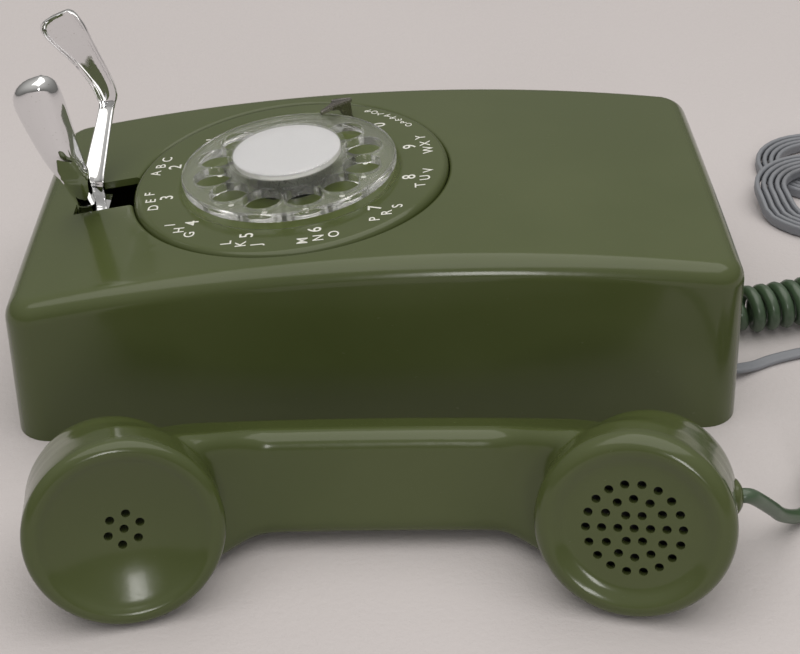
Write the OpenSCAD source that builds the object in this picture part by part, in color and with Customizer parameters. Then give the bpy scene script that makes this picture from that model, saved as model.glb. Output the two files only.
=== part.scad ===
// Rotary wall telephone lying on its back, with its handset beside it.
// X runs from the hook end to the cord end, Y away from the viewer, Z out of the wall.
// The origin is the middle of the wall face. All sizes are in millimetres.

/* [Housing] */
// Length of the housing at the wall
body_len = 246; // [240:1:256]
// Width of the housing at the wall
body_wid = 139; // [136:1:150]
// Plan radius of the housing corners
corner_r = 12; // [8:1:16]
// Thickness of the moulded wall
wall = 2.6; // [2:0.1:3.2]
// Draft of the side walls in degrees
draft = 2; // [1:0.1:3]
// Height of the top edge at the crest of the arch
edge_h = 65.6; // [64:0.1:70]
// Distance of the crest from the middle
crest_x = 27; // [22:1:34]
// Radius of the lengthwise arch
arch_r = 720; // [650:10:900]
// Rise of the crown across the width
crown = 1; // [0.5:0.1:2]
// Radius of the rounded top edge
edge_r = 7; // [5:0.5:9]

/* [Base plate] */
// Thickness of the base plate
plate_t = 2; // [1.5:0.1:2.5]
// Gap between base plate and housing
plate_gap = 0.4; // [0.3:0.05:0.8]
// Height of the flanges along the long sides
flange_h = 8; // [5:0.5:12]
// Thickness of the flanges
flange_t = 1.6; // [1.2:0.1:2]
// Spacing of the two wall screws
box_pitch = 83.3; // [80:0.1:86]
// Diameter of the wall screw holes
box_hole_d = 5.5; // [4.5:0.1:6]
// Place of the wall screw nearer the cord end
box_hole_x = 13.3; // [10:0.1:15]

/* [Dial] */
// Distance of the dial centre from the hook end
dial_in = 94; // [92:0.5:96]
// Slope of the dial towards the hook in degrees
dial_tilt = 5; // [4:0.25:6]
// Depth of the dial plane under the crown
dial_sink = 2.3; // [1.8:0.1:2.8]
// Diameter of the number plate
plate_d = 112; // [108:0.5:114]
// Height of the number plate face over the dial plane
plate_rise = 2; // [1.6:0.1:2.2]
// Radius of the rounded rim of the number plate
plate_rim = 3.5; // [2.5:0.1:4]
// Gap round the number plate
dial_gap = 0.8; // [0.5:0.1:1.2]
// Diameter of the finger wheel
wheel_d = 76.2; // [74:0.2:78]
// Thickness of the finger wheel
wheel_t = 3.4; // [3:0.1:3.8]
// Height of the wheel underside over the dial plane
wheel_rise = 3.1; // [2.8:0.1:3.5]
// Diameter of a finger hole
finger_d = 13.2; // [12.5:0.1:13.4]
// Radius of the ring of finger holes
finger_r = 27.2; // [26.8:0.1:27.8]
// Angle between finger holes
finger_step = 30; // [29:0.5:31]
// Diameter of the number card
card_d = 38; // [36:0.5:38.5]
// Radial thickness of the card cover skirt
cover_wall = 1.7; // [1.2:0.1:1.8]
// Diameter of the dial shaft
shaft_d = 6; // [5:0.1:6.5]
// Running clearance of shafts in their bearings
run_gap = 0.05; // [0.03:0.01:0.08]

/* [Gear train] */
// Module of the main gear pair
main_mod = 0.7; // [0.68:0.01:0.72]
// Teeth of the main gear
main_teeth = 60; // [60]
// Teeth of the idler pinion
pinion_teeth = 12; // [12]
// Module of the governor gear pair
gov_mod = 0.6; // [0.58:0.01:0.62]
// Teeth of the idler gear
idler_teeth = 40; // [40]
// Teeth of the governor pinion
gov_teeth = 10; // [10]
// Extra spacing of each gear pair
mesh_gap = 0.15; // [0.12:0.01:0.2]
// Diameter of the idler shaft
idler_d = 3; // [2.6:0.1:3.2]
// Diameter of the governor shaft
gov_d = 2.4; // [2:0.1:2.6]

/* [Hook] */
// Distance of the hook pivot from the hook end
hook_in = 22; // [20:0.5:24]
// Height of the hook pivot over the wall
hook_z = 16; // [14:0.5:18]
// Diameter of the pivot pin
hook_pin_d = 4; // [3.5:0.1:4.5]
// Width of the lever across the slot
lever_w = 16; // [14:0.5:17]
// Thickness of the lever stem
lever_t = 9.4; // [8:0.2:10]
// Length of the slot, which runs into the dial opening
slot_len = 22; // [21:0.5:24]
// Clearance of the slot beside the lever
slot_gap = 2.3; // [2:0.1:3]
// Thickness of a prong
prong_t = 2.2; // [1.8:0.1:2.6]
// Half width between the prongs at the knee
knee_y = 31; // [28:0.5:33]
// Height of the knee
knee_z = 79.4; // [77:0.2:82]
// Half width between the prongs at the tip
tip_y = 27; // [25:0.5:30]
// Height of the middle of the round tip
tip_z = 106.4; // [103:0.2:110]
// Radius of the round tip
tip_r = 8.8; // [7.4:0.2:9.4]
// Lean of the paddle towards the top end
tip_lean = 9; // [8:0.5:10]

/* [Ringer] */
// Distance of the gongs from the cord end
gong_in = 51; // [49:0.5:53]
// Spacing of the gongs from the middle
gong_y = 32; // [31.5:0.1:33]
// Outside diameter of a gong
gong_d = 54; // [52:0.5:54.5]
// Height of a gong
gong_h = 16; // [13:0.5:18]
// Thickness of the gong wall
gong_wall = 1.6; // [1.2:0.1:2]
// Height of the gong rims over the wall
gong_z = 32; // [31:0.5:34]
// Diameter of the clapper ball
ball_d = 6; // [5.4:0.1:6.2]
// Diameter of the loudness wheel
loud_d = 26; // [24:0.5:27]
// Thickness of the loudness wheel
loud_t = 5; // [4:0.2:5.5]

/* [Handset] */
// Spacing of the cap centres from the middle
cap_x = 71.9; // [70:0.1:74]
// Slant of the caps towards each other in degrees
cap_slant = 12.5; // [10:0.5:14]
// Largest radius of the caps
cap_r = 29; // [28.6:0.1:29.4]
// Radius where cap and cup meet
join_r = 26.6; // [26:0.1:27]
// Thickness of the cap walls
cap_wall = 2.6; // [2.2:0.1:3]
// Depth of the joint behind the cap crest
join_z = 14; // [13:0.5:15]
// Depth of the cups behind the cap crest
cup_depth = 48; // [46:0.5:49]
// Half width of the handle on the inner face
grip_w = 15.8; // [14:0.2:16.4]
// Half width of the handle on the back
grip_back_w = 16; // [14:0.2:16.4]
// Depth of the inner face behind the cap crests
grip_front = 32.5; // [31:0.5:33.5]
// Depth of the back behind the cap crests
grip_back = 53.5; // [52:0.5:54]
// Diameter of the sound holes
sound_d = 2.6; // [2.2:0.1:2.8]

/* [Cords] */
// Diameter of the curly handset cord
curl_cord_d = 4.6; // [4:0.1:4.8]
// Radius of the curls at the middle of the cord
curl_r = 6.6; // [6.4:0.1:7]
// Number of curls
curl_count = 35; // [30:1:36]
// Width of the flat line cord
line_w = 4.4; // [4:0.1:4.6]
// Thickness of the flat line cord
line_t = 2.2; // [2:0.1:2.4]
// Whole loops in each of the two rings of the hank
hank_loops = 4; // [3:1:4]
// Outer radius of the hank ends
hank_r = 30; // [29:0.5:31]
// Length of the straight runs of the hank
hank_run = 25; // [24:0.5:27]

/* [Hidden] */
$fn = 64;
moss = [0.27, 0.32, 0.17];
dark_moss = [0.16, 0.22, 0.13];
steel = [0.62, 0.64, 0.66];
zinc = [0.72, 0.72, 0.68];
chrome = [0.85, 0.86, 0.88];
brass = [0.78, 0.62, 0.28];
black = [0.08, 0.08, 0.09];
ivory = [0.93, 0.92, 0.88];
clear = [0.86, 0.88, 0.88, 0.5];
copper = [0.72, 0.40, 0.22];
grey = [0.52, 0.53, 0.56];

half_len = body_len / 2;
half_wid = body_wid / 2;
draft_run = tan(draft);
dial_x = dial_in - half_len;
hook_x = hook_in - half_len;
gong_x = half_len - gong_in;

// Height of the outer top surface, and half sizes of the walls at a height
function arch_z(x) = edge_h - (x - crest_x) * (x - crest_x) / (2 * arch_r);
function top_z(x, y) = arch_z(x) + crown * (1 - y * y / (half_wid * half_wid));
function wall_x(z) = half_len - z * draft_run;
function wall_y(z) = half_wid - z * draft_run;

// Frame of the dial: lx runs up the slope, lz out of the number plate
dial_z = top_z(dial_x, 0) - dial_sink;
function dial_pt(lx, lz) = [
    dial_x + lx * cos(dial_tilt) - lz * sin(dial_tilt),
    dial_z + lx * sin(dial_tilt) + lz * cos(dial_tilt)
];
module on_dial() {
    translate([dial_x, 0, dial_z]) rotate([0, -dial_tilt, 0]) children();
}

// Levels of the dial mechanism below the dial plane
frame_top = -6;
frame_t = 2;
frame_bot = frame_top - frame_t;
frame_r = 50;
bush_flange_t = 2;
bush_r = 6;
bush_tail = 2;
hub_r = 12;
hub_drop = 3.5;
plate_hole_r = 15;
spring_h = 2.6;
spring_gap = 0.6;
main_gear_t = 2.5;
main_gear_z = -14;
bridge_t = 2;
bridge_top = -24;
bridge_bot = bridge_top - bridge_t;
pillar_r = 2.5;
pillars = [[29, -14], [-33, -14], [0, 28]];
idler_dist = main_mod * (main_teeth + pinion_teeth) / 2 + mesh_gap;
gov_dist = gov_mod * (idler_teeth + gov_teeth) / 2 + mesh_gap;
gov_angle = 200;
idler_pos = [0, -idler_dist];
gov_pos = idler_pos + gov_dist * [cos(gov_angle), sin(gov_angle)];
idler_gear_t = 2;
idler_gear_z = -18;
gear_over = 0.5;
cam_t = 1.5;
cam_z = -21;
cam_r = 4.6;
cam_lift = 0.4;
gov_cup_r = 9;
gov_cup_wall = 1.2;
gov_cup_top = -19.5;
gov_pad_gap = 0.8;

// Number plate and card
plate_sheet = 1.2;
plate_skirt = 4;
plate_boss_r = 4;
plate_boss_ring = 46;
boss_angles = [90, 210, 330];
screw_d = 3;
screw_gap = 0.1;
screw_head_r = 2.8;
screw_head_h = 1.8;
wheel_top = wheel_rise + wheel_t;
nut_r = 7;
nut_h = 2.5;
card_cup_t = 1.4;
card_t = 0.5;
card_gap = 0.25;
cover_t = 1;
cover_r = card_d / 2 + card_gap + cover_wall;
stop_angle = 66.5;
stop_w = 8;
stop_t = 1.6;
stop_out = 3;
stop_over = 1.2;
stop_reach = 8;
stop_foot = 6;
stop_slot_gap = 0.5;

// Dial bracket
leg_lx = 44;
leg_w = 24;
leg_t = 2;
leg_foot = 14;
leg_tab = 10;

// Network block, beside the wall screws and under the dial
net_size = [64, 50, 26];
net_at = [dial_x - 33, 10, plate_t];
net_r = 3;
term_head_r = 2.4;
term_head_h = 1.4;
term_lift = 0.04;
term_rows = 2;
term_cols = 6;

// Hook
hook_hub_r = 5;
cheek_gap = 0.5;
cheek_t = 1.8;
cheek_h = 24;
cheek_len = 18;
pin_spare = 8;
lever_top = 52.4;
lever_arm = 15;
lever_arm_w = 8;
lever_arm_t = 3;
slot_x0 = hook_x - 4.4;
fork_y = lever_w / 2 - prong_t / 2;
spring_wire = 0.9;
spring_turns = 4;
blade_t = 0.4;

// Ringer
ring_plate = [64, 80, 2];
ring_x0 = gong_x - ring_plate[0] / 2;
ring_z = plate_t + ring_plate[2];
post_r = 3.5;
gong_top = gong_z + gong_h;
clap_x = gong_x - 26;
clap_post_r = 1.5;
clap_hub_r = 4;
clap_z = gong_z + 3;
clap_h = 6;
coil_r = 10;
coil_len = 42;
coil_z = ring_z + coil_r + 0.5;
core_r = 4;
coil_bore_gap = 0.1;
pole_t = 3;
magnet_size = [9, 36, 11];
loud_x = half_len - 10;
loud_y = 47;
loud_stud_r = 2.5;
loud_seat = 6;
loud_teeth = 24;

// Housing screw on the end wall at the cord end
tab_y = 25;
tab_w = 18;
tab_h = 14;
tab_t = 2;
tab_z = 9;
fix_d = 3.5;
fix_head_r = 3.2;
fix_head_h = 2;

// Cord places at the end wall
curl_exit_y = -12.5;
curl_exit_z = 9.4;
line_exit_y = -40.5;
line_exit_z = 3.6;
grommet_r = 4.6;
grommet_lip = 1.2;
grommet_lip_r = 6;
grommet_gap = 0.2;

// Handset frame: x from ear to mouth, y across, z out of the caps
hand_at = [1, -155.3, 30];
hand_roll = 76;
hand_yaw = -0.9;
module on_handset() {
    translate(hand_at) rotate([0, 0, hand_yaw]) rotate([hand_roll, 0, 0]) children();
}
module on_ear() {
    translate([-cap_x, 0, 0]) rotate([0, cap_slant, 0]) children();
}
module on_mouth() {
    translate([cap_x, 0, 0]) rotate([0, -cap_slant, 0]) children();
}
bushing_r = 5.4;
bushing_len = 8;
bushing_depth = 20;
bushing_x = 107.6;
bushing_gap = 0.4;

// Sweep of a closed outline along a list of points, with flat ends
function unit(v) = v / norm(v);
function along(p, i) =
    unit(p[min(i + 1, len(p) - 1)] - p[max(i - 1, 0)]);
function side_of(t, up) = unit(cross(up, t));
function ring_at(p, i, outline, up) =
    let (t = along(p, i), s = side_of(t, up), u = cross(t, s))
    [for (q = outline) p[i] + q[0] * s + q[1] * u];
function carry(side, t) = unit(side - (side * t) * t);
function sides_along(p, i, prev) =
    i >= len(p) ? [] : let (s = carry(prev, along(p, i))) concat([s], sides_along(p, i + 1, s));
function band_faces(rows, n) = [
    for (r = [0 : rows - 2], k = [0 : n - 1], half = [0, 1])
    let (a = r * n + k, b = r * n + (k + 1) % n, c = a + n, d = b + n)
    half == 0 ? [a, b, d] : [a, d, c]
];
function fan(first, n, flip) = [
    for (k = [1 : n - 2]) flip ? [first, first + k + 1, first + k] : [first, first + k, first + k + 1]
];
module sweep(rings) {
    n = len(rings[0]);
    rows = len(rings);
    polyhedron(
        points = [for (r = rings) for (q = r) q],
        faces = concat(band_faces(rows, n), fan(0, n, true), fan((rows - 1) * n, n, false)),
        convexity = 10
    );
}
function round_outline(r, n) = [for (k = [0 : n - 1]) r * [cos(360 * k / n), -sin(360 * k / n)]];
function flat_outline(w, t) = [
    [w / 2, 0], [w / 2 - t / 3, -t / 2], [-w / 2 + t / 3, -t / 2],
    [-w / 2, 0], [-w / 2 + t / 3, t / 2], [w / 2 - t / 3, t / 2]
];
edge_outline = [for (q = flat_outline(line_w, line_t)) [q[1], -q[0]]];
function tube_rings(p, outline, first_side, twist = 0, twist_from = 0) =
    let (sides = sides_along(p, 0, first_side), last = len(p) - 1)
    [for (i = [0 : last])
        let (t = along(p, i), s0 = sides[i], u0 = cross(t, s0),
            a = twist * smooth((i - twist_from) / max(1, last - twist_from)),
            s = cos(a) * s0 + sin(a) * u0, u = cross(t, s))
        [for (q = outline) p[i] + q[0] * s + q[1] * u]];
function smooth(a) = a <= 0 ? 0 : a >= 1 ? 1 : a * a * (3 - 2 * a);

// Smooth curve through points chosen by hand
function knot(p, i) = p[max(0, min(len(p) - 1, i))];
function bend(p, i, t) =
    let (a = knot(p, i - 1), b = knot(p, i), c = knot(p, i + 1), d = knot(p, i + 2))
    0.5 * (2 * b + (c - a) * t + (2 * a - 5 * b + 4 * c - d) * t * t
        + (3 * b - a - 3 * c + d) * t * t * t);
function curve(p, steps) = concat(
    [for (i = [0 : len(p) - 2], k = [0 : steps - 1]) bend(p, i, k / steps)], [p[len(p) - 1]]);
function run_lengths(p, i = 0, total = 0) =
    i >= len(p) ? [] : let (s = i == 0 ? 0 : total + norm(p[i] - p[i - 1]))
    concat([s], run_lengths(p, i + 1, s));
function point_at(p, runs, s, i = 0) =
    i >= len(p) - 2 || runs[i + 1] >= s
    ? p[i] + (p[i + 1] - p[i]) * (s - runs[i]) / (runs[i + 1] - runs[i])
    : point_at(p, runs, s, i + 1);

// Curly cord: the middle line of the coil, from the housing to the handset
curl_route = [
    [121.6, -12.5, 9.4], [133.7, -11.9, 9.6], [147.8, -9.4, 9.8], [164.9, -6, 10.8], [182, -2.7, 12.4],
    [199, -4.3, 11.8], [213.6, -13.8, 10], [222, -30.2, 9.4], [223.4, -48.2, 9.4], [214.8, -64.9, 9.4],
    [199.4, -75.4, 9.4], [182.3, -77.7, 9.4], [166.1, -82.1, 9.4], [153.7, -91.7, 9.4],
    [147.3, -103.5, 9], [141, -112.2, 5.5], [132.7, -118.9, 3], [124.5, -125.6, 8.5],
    [118.3, -131.4, 17], [114.6, -135.3, 22.6]
];
curl_steps = 8;
curl_start = 7;
curl_end = 252;
curl_ramp = 7;
// Close turns at the housing end, then an even pitch
close_end = 40;
close_count = 6;
curl_mid = curve(curl_route, 6);
curl_runs = run_lengths(curl_mid);
curl_total = curl_runs[len(curl_runs) - 1];
function curl_lift(s) = curl_r * smooth((s - curl_start) / curl_ramp) * smooth((curl_end - s) / curl_ramp);
function curl_turn(s) = 360 * (s < close_end
    ? close_count * (s - curl_start) / (close_end - curl_start)
    : close_count + (curl_count - close_count) * (s - close_end) / (curl_end - close_end));
function curl_point(s) =
    let (c = point_at(curl_mid, curl_runs, s),
        t = unit(point_at(curl_mid, curl_runs, min(s + 1, curl_total))
            - point_at(curl_mid, curl_runs, max(s - 1, 0))),
        n = unit(cross([0, 0, 1], t)), b = cross(t, n), a = curl_turn(s) - 90)
    c + curl_lift(s) * (cos(a) * n + sin(a) * b)
        + [0, 0, max(0, curl_lift(s) + curl_cord_d / 2 + 0.2 - c[2])];
curl_step = (curl_end - curl_start) / (curl_count * curl_steps);
bush_end = [cos(hand_yaw), sin(hand_yaw), 0];
hand_up = [0, cos(hand_roll), sin(hand_roll)];
hand_out = [0, -sin(hand_roll), cos(hand_roll)];
curl_to = hand_at + (bushing_x + bushing_gap) * bush_end + hand_up - bushing_depth * hand_out;
curl_from = [wall_x(curl_exit_z) + grommet_lip, curl_exit_y, curl_exit_z];
curl_points = concat(
    [curl_from, curl_from + [curl_cord_d, 0, 0]],
    [for (s = [curl_start + curl_step : curl_step : curl_total - 9]) curl_point(s)],
    [curl_to + curl_cord_d * bush_end, curl_to]
);
function least_gap(p, apart) = min([
    for (i = [0 : len(p) - 1 - apart], j = [i + apart : min(len(p) - 1, i + 5 * apart)]) norm(p[i] - p[j])
]);
echo(handset_cord_self_gap = least_gap(curl_points, 6) - curl_cord_d);
echo(handset_cord_length = run_lengths(curl_points)[len(curl_points) - 1]);

// Line cord: free stretch from the housing, under the curly cord, to the hank
line_route = [
    [122.6, -40.5, 3.6], [127.6, -40.5, 3.6], [134.8, -36, 1.6], [141.9, -32.2, 1.4],
    [152.1, -28.6, 1.4], [165.2, -25.1, 1.4], [178.5, -17.6, 1.4], [187.9, -5.9, 1.4],
    [194.4, 6.9, 1.4], [204.9, 19.5, 1.4], [219.1, 25, 1.4], [229.3, 32.6, 1.8], [230.7, 42.6, 2.2],
    [223, 49.4, 2.5]
];
line_from = [wall_x(line_exit_z) + grommet_lip + grommet_gap, line_exit_y, line_exit_z];
hank_gap = 0.55;
hank_step = line_t + hank_gap;
hank_z = line_w / 2 + 0.3;
hank_near = [200.6, 50.7 + hank_r];
hank_far = hank_near + [6, 31];
hank_lift = line_w + 0.9;
hank_rise_y = hank_near[1] - 14;
hank_in = hank_r - hank_step * (hank_loops + 0.5);
arc_rings = 9;
run_rings = 3;
// One loop is a near run, an end, a far run and an end; k counts rings and turn is the way round
function loop_side(k) = k < 3 ? 0 : k < 12 ? 1 : k < 15 ? 2 : 3;
function loop_place(k, r, turn) =
    let (h = hank_run / 2, part = loop_side(k))
    part == 0 ? [-turn * h + turn * hank_run * k / run_rings, -r]
    : part == 1 ? let (a = -90 + turn * 180 * (k - 3) / arc_rings) [turn * h + r * cos(a), r * sin(a)]
    : part == 2 ? [turn * h - turn * hank_run * (k - 12) / run_rings, r]
    : let (a = 90 + turn * 180 * (k - 15) / arc_rings) [-turn * h + r * cos(a), r * sin(a)];
function near_point(i) =
    let (q = hank_near + loop_place(i % 24, hank_r - hank_step * i / 24, -1))
    [q[0], q[1], hank_z + hank_lift * smooth((q[1] - hank_rise_y) / 12)];
function far_point(i) =
    let (q = hank_far + loop_place((i + 3) % 24, hank_in + hank_step * i / 24, 1)) [q[0], q[1], hank_z];
near_last = 24 * hank_loops + 12;
far_last = 24 * hank_loops + 9;
link_a = near_point(near_last);
link_b = far_point(0);
hank_points = concat(
    [for (i = [0 : near_last]) near_point(i)],
    [for (k = [1 : 5]) let (t = k / 6)
        [link_a[0] + (link_b[0] - link_a[0]) * t, link_a[1] + (link_b[1] - link_a[1]) * smooth(t),
            link_a[2] + (link_b[2] - link_a[2]) * smooth(t)]],
    [for (i = [0 : far_last]) far_point(i)]
);
line_points = concat([line_from], curve(concat([line_from + [1.2, 0, 0]],
    [for (i = [1 : len(line_route) - 1]) line_route[i]], [near_point(0)]), 3));
function all_gaps(p, apart) = min([
    for (i = [0 : len(p) - 1 - apart], j = [i + apart : len(p) - 1]) norm(p[i] - p[j])
]);
echo(line_hank_self_gap = all_gaps(hank_points, 12) - line_t);
echo(line_cord_length = run_lengths(hank_points)[len(hank_points) - 1]
    + run_lengths(line_points)[len(line_points) - 1]);

// Flat outlines that repeat
module round_rect(l, w, r) {
    for (sx = [-1, 1], sy = [-1, 1]) translate([sx * (l / 2 - r), sy * (w / 2 - r)]) circle(r);
    square([l, w - 2 * r], center = true);
    square([l - 2 * r, w], center = true);
}
module bar(p, q, w) {
    d = q - p;
    translate(p) rotate(atan2(d[1], d[0])) translate([0, -w / 2]) square([norm(d), w]);
}
module ring(r_out, r_in) {
    difference() {
        circle(r_out);
        circle(r_in);
    }
}
// Straight-sided teeth with room on both flanks
tooth_tip = 0.9;
tooth_root = 1.15;
function tooth(r, m, a) = [
    [r - tooth_root * m, -0.30 * a], [r + tooth_tip * m, -0.11 * a],
    [r + tooth_tip * m, 0.11 * a], [r - tooth_root * m, 0.30 * a]
];
module gear(teeth, m, phase) {
    r = teeth * m / 2;
    a = 360 / teeth;
    polygon([for (k = [0 : teeth - 1]) for (q = tooth(r, m, a))
        q[0] * [cos(phase + k * a + q[1]), sin(phase + k * a + q[1])]]);
}
module screw(d, len, head_r, head_h) {
    cylinder(d = d, h = len);
    translate([0, 0, -head_h]) difference() {
        cylinder(r = head_r, h = head_h);
        translate([-head_r, -head_r / 8, -head_h / 2]) cube([2 * head_r, head_r / 4, head_h]);
    }
}

// Housing: rings of points from the rim up the wall, over the edge and in to the middle
corner_steps = 4;
long_steps = 9;
short_steps = 5;
function span(a, b, n) = [for (k = [1 : n - 1]) a + (b - a) * k / n];
// Each entry is a point of the plan outline and its outward direction
function corner(cx, cy, a0) = [
    for (k = [0 : corner_steps]) let (a = a0 + 90 * k / corner_steps)
    [[cx + corner_r * cos(a), cy + corner_r * sin(a)], [cos(a), sin(a)]]
];
straight_x = half_len - corner_r;
straight_y = half_wid - corner_r;
plan = concat(
    corner(straight_x, straight_y, 0),
    [for (x = span(straight_x, -straight_x, long_steps)) [[x, half_wid], [0, 1]]],
    corner(-straight_x, straight_y, 90),
    [for (y = span(straight_y, -straight_y, short_steps)) [[-half_len, y], [-1, 0]]],
    corner(-straight_x, -straight_y, 180),
    [for (x = span(-straight_x, straight_x, long_steps)) [[x, -half_wid], [0, -1]]],
    corner(straight_x, -straight_y, 270),
    [for (y = span(-straight_y, straight_y, short_steps)) [[half_len, y], [1, 0]]]
);
plan_n = len(plan);
// Ring of the skin at an inset, where drop is the depth under the top surface
function rim_ring(inset) = [for (q = plan) let (p = q[0] - inset * q[1]) [p[0], p[1], 0]];
function skin_ring(inset, turn, skin) = [
    for (q = plan)
    let (run = inset + draft_run * (arch_z(q[0][0]) - edge_r) + edge_r * (1 - cos(turn)),
        p = q[0] - run * q[1])
    [p[0], p[1], top_z(p[0], p[1]) - edge_r * (1 - sin(turn)) - skin]
];
function cap_ring(inset, share, skin) = [
    for (q = plan)
    let (run = inset + draft_run * (arch_z(q[0][0]) - edge_r) + edge_r,
        p = share * (q[0] - run * q[1]))
    [p[0], p[1], top_z(p[0], p[1]) - skin]
];
edge_turns = [0, 25, 50, 72, 90];
cap_shares = [0.86, 0.68, 0.46, 0.22];
function skin_rings(inset, skin) = concat(
    [rim_ring(inset)],
    [for (a = edge_turns) skin_ring(inset, a, skin)],
    [for (s = cap_shares) cap_ring(inset, s, skin)]
);
module housing_shell() {
    outer = skin_rings(0, 0);
    inner = skin_rings(wall, wall);
    rows = len(outer);
    n = plan_n;
    first_in = rows * n;
    flipped = [for (f = band_faces(rows, n)) [f[0], f[2], f[1]] + [first_in, first_in, first_in]];
    top = [0, 0, top_z(0, 0)];
    mid_out = 2 * rows * n;
    mid_in = mid_out + 1;
    last = (rows - 1) * n;
    caps = [for (k = [0 : n - 1]) let (b = (k + 1) % n) [last + k, last + b, mid_out]];
    caps_in = [for (k = [0 : n - 1]) let (b = (k + 1) % n)
        [first_in + last + b, first_in + last + k, mid_in]];
    rim = [for (k = [0 : n - 1], half = [0, 1]) let (b = (k + 1) % n)
        half == 0 ? [k, first_in + k, first_in + b] : [k, first_in + b, b]];
    points = concat([for (r = outer) for (q = r) q], [for (r = inner) for (q = r) q],
        [top, top - [0, 0, wall]]);
    polyhedron(points = points, convexity = 10,
        faces = [for (f = concat(band_faces(rows, n), flipped, caps, caps_in, rim)) [f[0], f[2], f[1]]]);
}
module housing() {
    color(moss) difference() {
        housing_shell();
        on_dial() translate([0, 0, -30]) cylinder(d = plate_d + 2 * dial_gap, h = 60);
        translate([slot_x0, -lever_w / 2 - slot_gap, 30])
            cube([slot_len, lever_w + 2 * slot_gap, edge_h]);
        translate([half_len, curl_exit_y, curl_exit_z]) rotate([0, 90, 0])
            cylinder(r = grommet_r + grommet_gap, h = 30, center = true);
        translate([half_len, line_exit_y, line_exit_z]) rotate([0, 90, 0])
            cylinder(r = line_w / 2 + wall / 2 + grommet_gap, h = 30, center = true);
        translate([half_len - 15, line_exit_y - line_w / 2 - wall / 2 - grommet_gap, -1])
            cube([30, line_w + wall + 2 * grommet_gap, line_exit_z + 1]);
        translate([half_len, tab_y, tab_z]) rotate([0, 90, 0])
            cylinder(d = fix_d + 2 * screw_gap, h = 30, center = true);
        translate([loud_x, loud_y - loud_d / 2 - 1, loud_seat + plate_t - 1])
            cube([30, loud_d + 2, loud_t + 2]);
    }
}
module housing_screw() {
    color(steel) translate([wall_x(tab_z - fix_head_r) + fix_head_h + screw_gap, tab_y, tab_z]) rotate([0, -90, 0])
        translate([0, 0, fix_head_h]) screw(fix_d, 14, fix_head_r, fix_head_h);
}

// Base plate: sheet with side flanges, a fixing tab and the stud of the loudness wheel
plate_l = body_len - 2 * (wall + plate_gap);
plate_w = body_wid - 2 * (wall + plate_gap);
tab_x = wall_x(tab_h) - wall - plate_gap - tab_t;
module base_plate() {
    color(zinc) difference() {
        union() {
            linear_extrude(plate_t) round_rect(plate_l, plate_w, corner_r - wall);
            for (s = [-1, 1])
                translate([-plate_l / 2 + corner_r, s * (plate_w / 2 - flange_h * draft_run) - (s > 0 ? flange_t : 0), 0])
                    cube([plate_l - 2 * corner_r, flange_t, flange_h]);
            translate([tab_x, tab_y - tab_w / 2, 0]) cube([tab_t, tab_w, tab_h]);
            translate([loud_x, loud_y, 0]) {
                cylinder(r = loud_stud_r + 2, h = plate_t + loud_seat - 0.3);
                cylinder(r = loud_stud_r, h = plate_t + loud_seat + loud_t + 1);
            }
        }
        for (x = [box_hole_x, box_hole_x - box_pitch])
            translate([x, 0, -1]) cylinder(d = box_hole_d, h = plate_t + 2);
        translate([tab_x - 1, tab_y, tab_z]) rotate([0, 90, 0])
            cylinder(d = fix_d + 2 * screw_gap, h = tab_t + 2);
        translate([plate_l / 2 - 6, line_exit_y - line_w, -1]) cube([10, 2 * line_w, plate_t + 2]);
    }
}

// Network block: potted box with a terminal board on top
module network_block() {
    color(black) translate(net_at + [net_size[0] / 2, net_size[1] / 2, 0]) {
        linear_extrude(net_size[2] - 2) round_rect(net_size[0], net_size[1], net_r);
        translate([0, 0, net_size[2] - 2]) linear_extrude(2)
            round_rect(net_size[0] - 6, net_size[1] - 6, net_r);
    }
}
module terminal_screws() {
    color(brass) for (i = [0 : term_cols - 1], j = [0 : term_rows - 1])
        translate(net_at + [
            net_size[0] * (i + 1) / (term_cols + 1), net_size[1] * (j + 0.5) / term_rows,
            net_size[2] + term_head_h + term_lift
        ]) rotate([180, 0, 0]) translate([0, 0, term_head_h])
            screw(screw_d, term_lift / 2, term_head_r, term_head_h);
}

// Dial bracket: two bent legs from the base plate to the dial frame
module dial_leg(s) {
    foot = dial_pt(s * leg_lx, frame_bot - leg_t / 2);
    on_dial() translate([s > 0 ? leg_lx - leg_tab : -leg_lx, -leg_w / 2, frame_bot - leg_t])
        cube([leg_tab, leg_w, leg_t]);
    translate([foot[0] - (s > 0 ? leg_t : 0), -leg_w / 2, plate_t]) cube([leg_t, leg_w, foot[1] - plate_t]);
    translate([foot[0] - (s > 0 ? leg_t : leg_foot - leg_t), -leg_w / 2, plate_t])
        cube([leg_foot, leg_w, leg_t]);
}
function foot_x(s) = dial_pt(s * leg_lx, frame_bot - leg_t / 2)[0] + s * (leg_foot / 2 - leg_t / 2);
module dial_bracket() {
    color(steel) difference() {
        for (s = [-1, 1]) dial_leg(s);
        for (s = [-1, 1]) {
            translate([foot_x(s), 0, 0]) cylinder(d = screw_d + 2 * screw_gap, h = plate_t + 3 * leg_t);
            on_dial() translate([s * (leg_lx - leg_tab / 2), 0, frame_bot - 2 * leg_t])
                cylinder(d = screw_d + 2 * screw_gap, h = 3 * leg_t);
        }
    }
}
module bracket_screws() {
    color(steel) for (s = [-1, 1]) {
        translate([foot_x(s), 0, plate_t + leg_t]) rotate([180, 0, 0])
            screw(screw_d, leg_t - 0.05, screw_head_r, screw_head_h);
        on_dial() translate([s * (leg_lx - leg_tab / 2), 0, frame_bot - leg_t])
            screw(screw_d, leg_t + frame_t - 0.5, screw_head_r, screw_head_h);
    }
}

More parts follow.
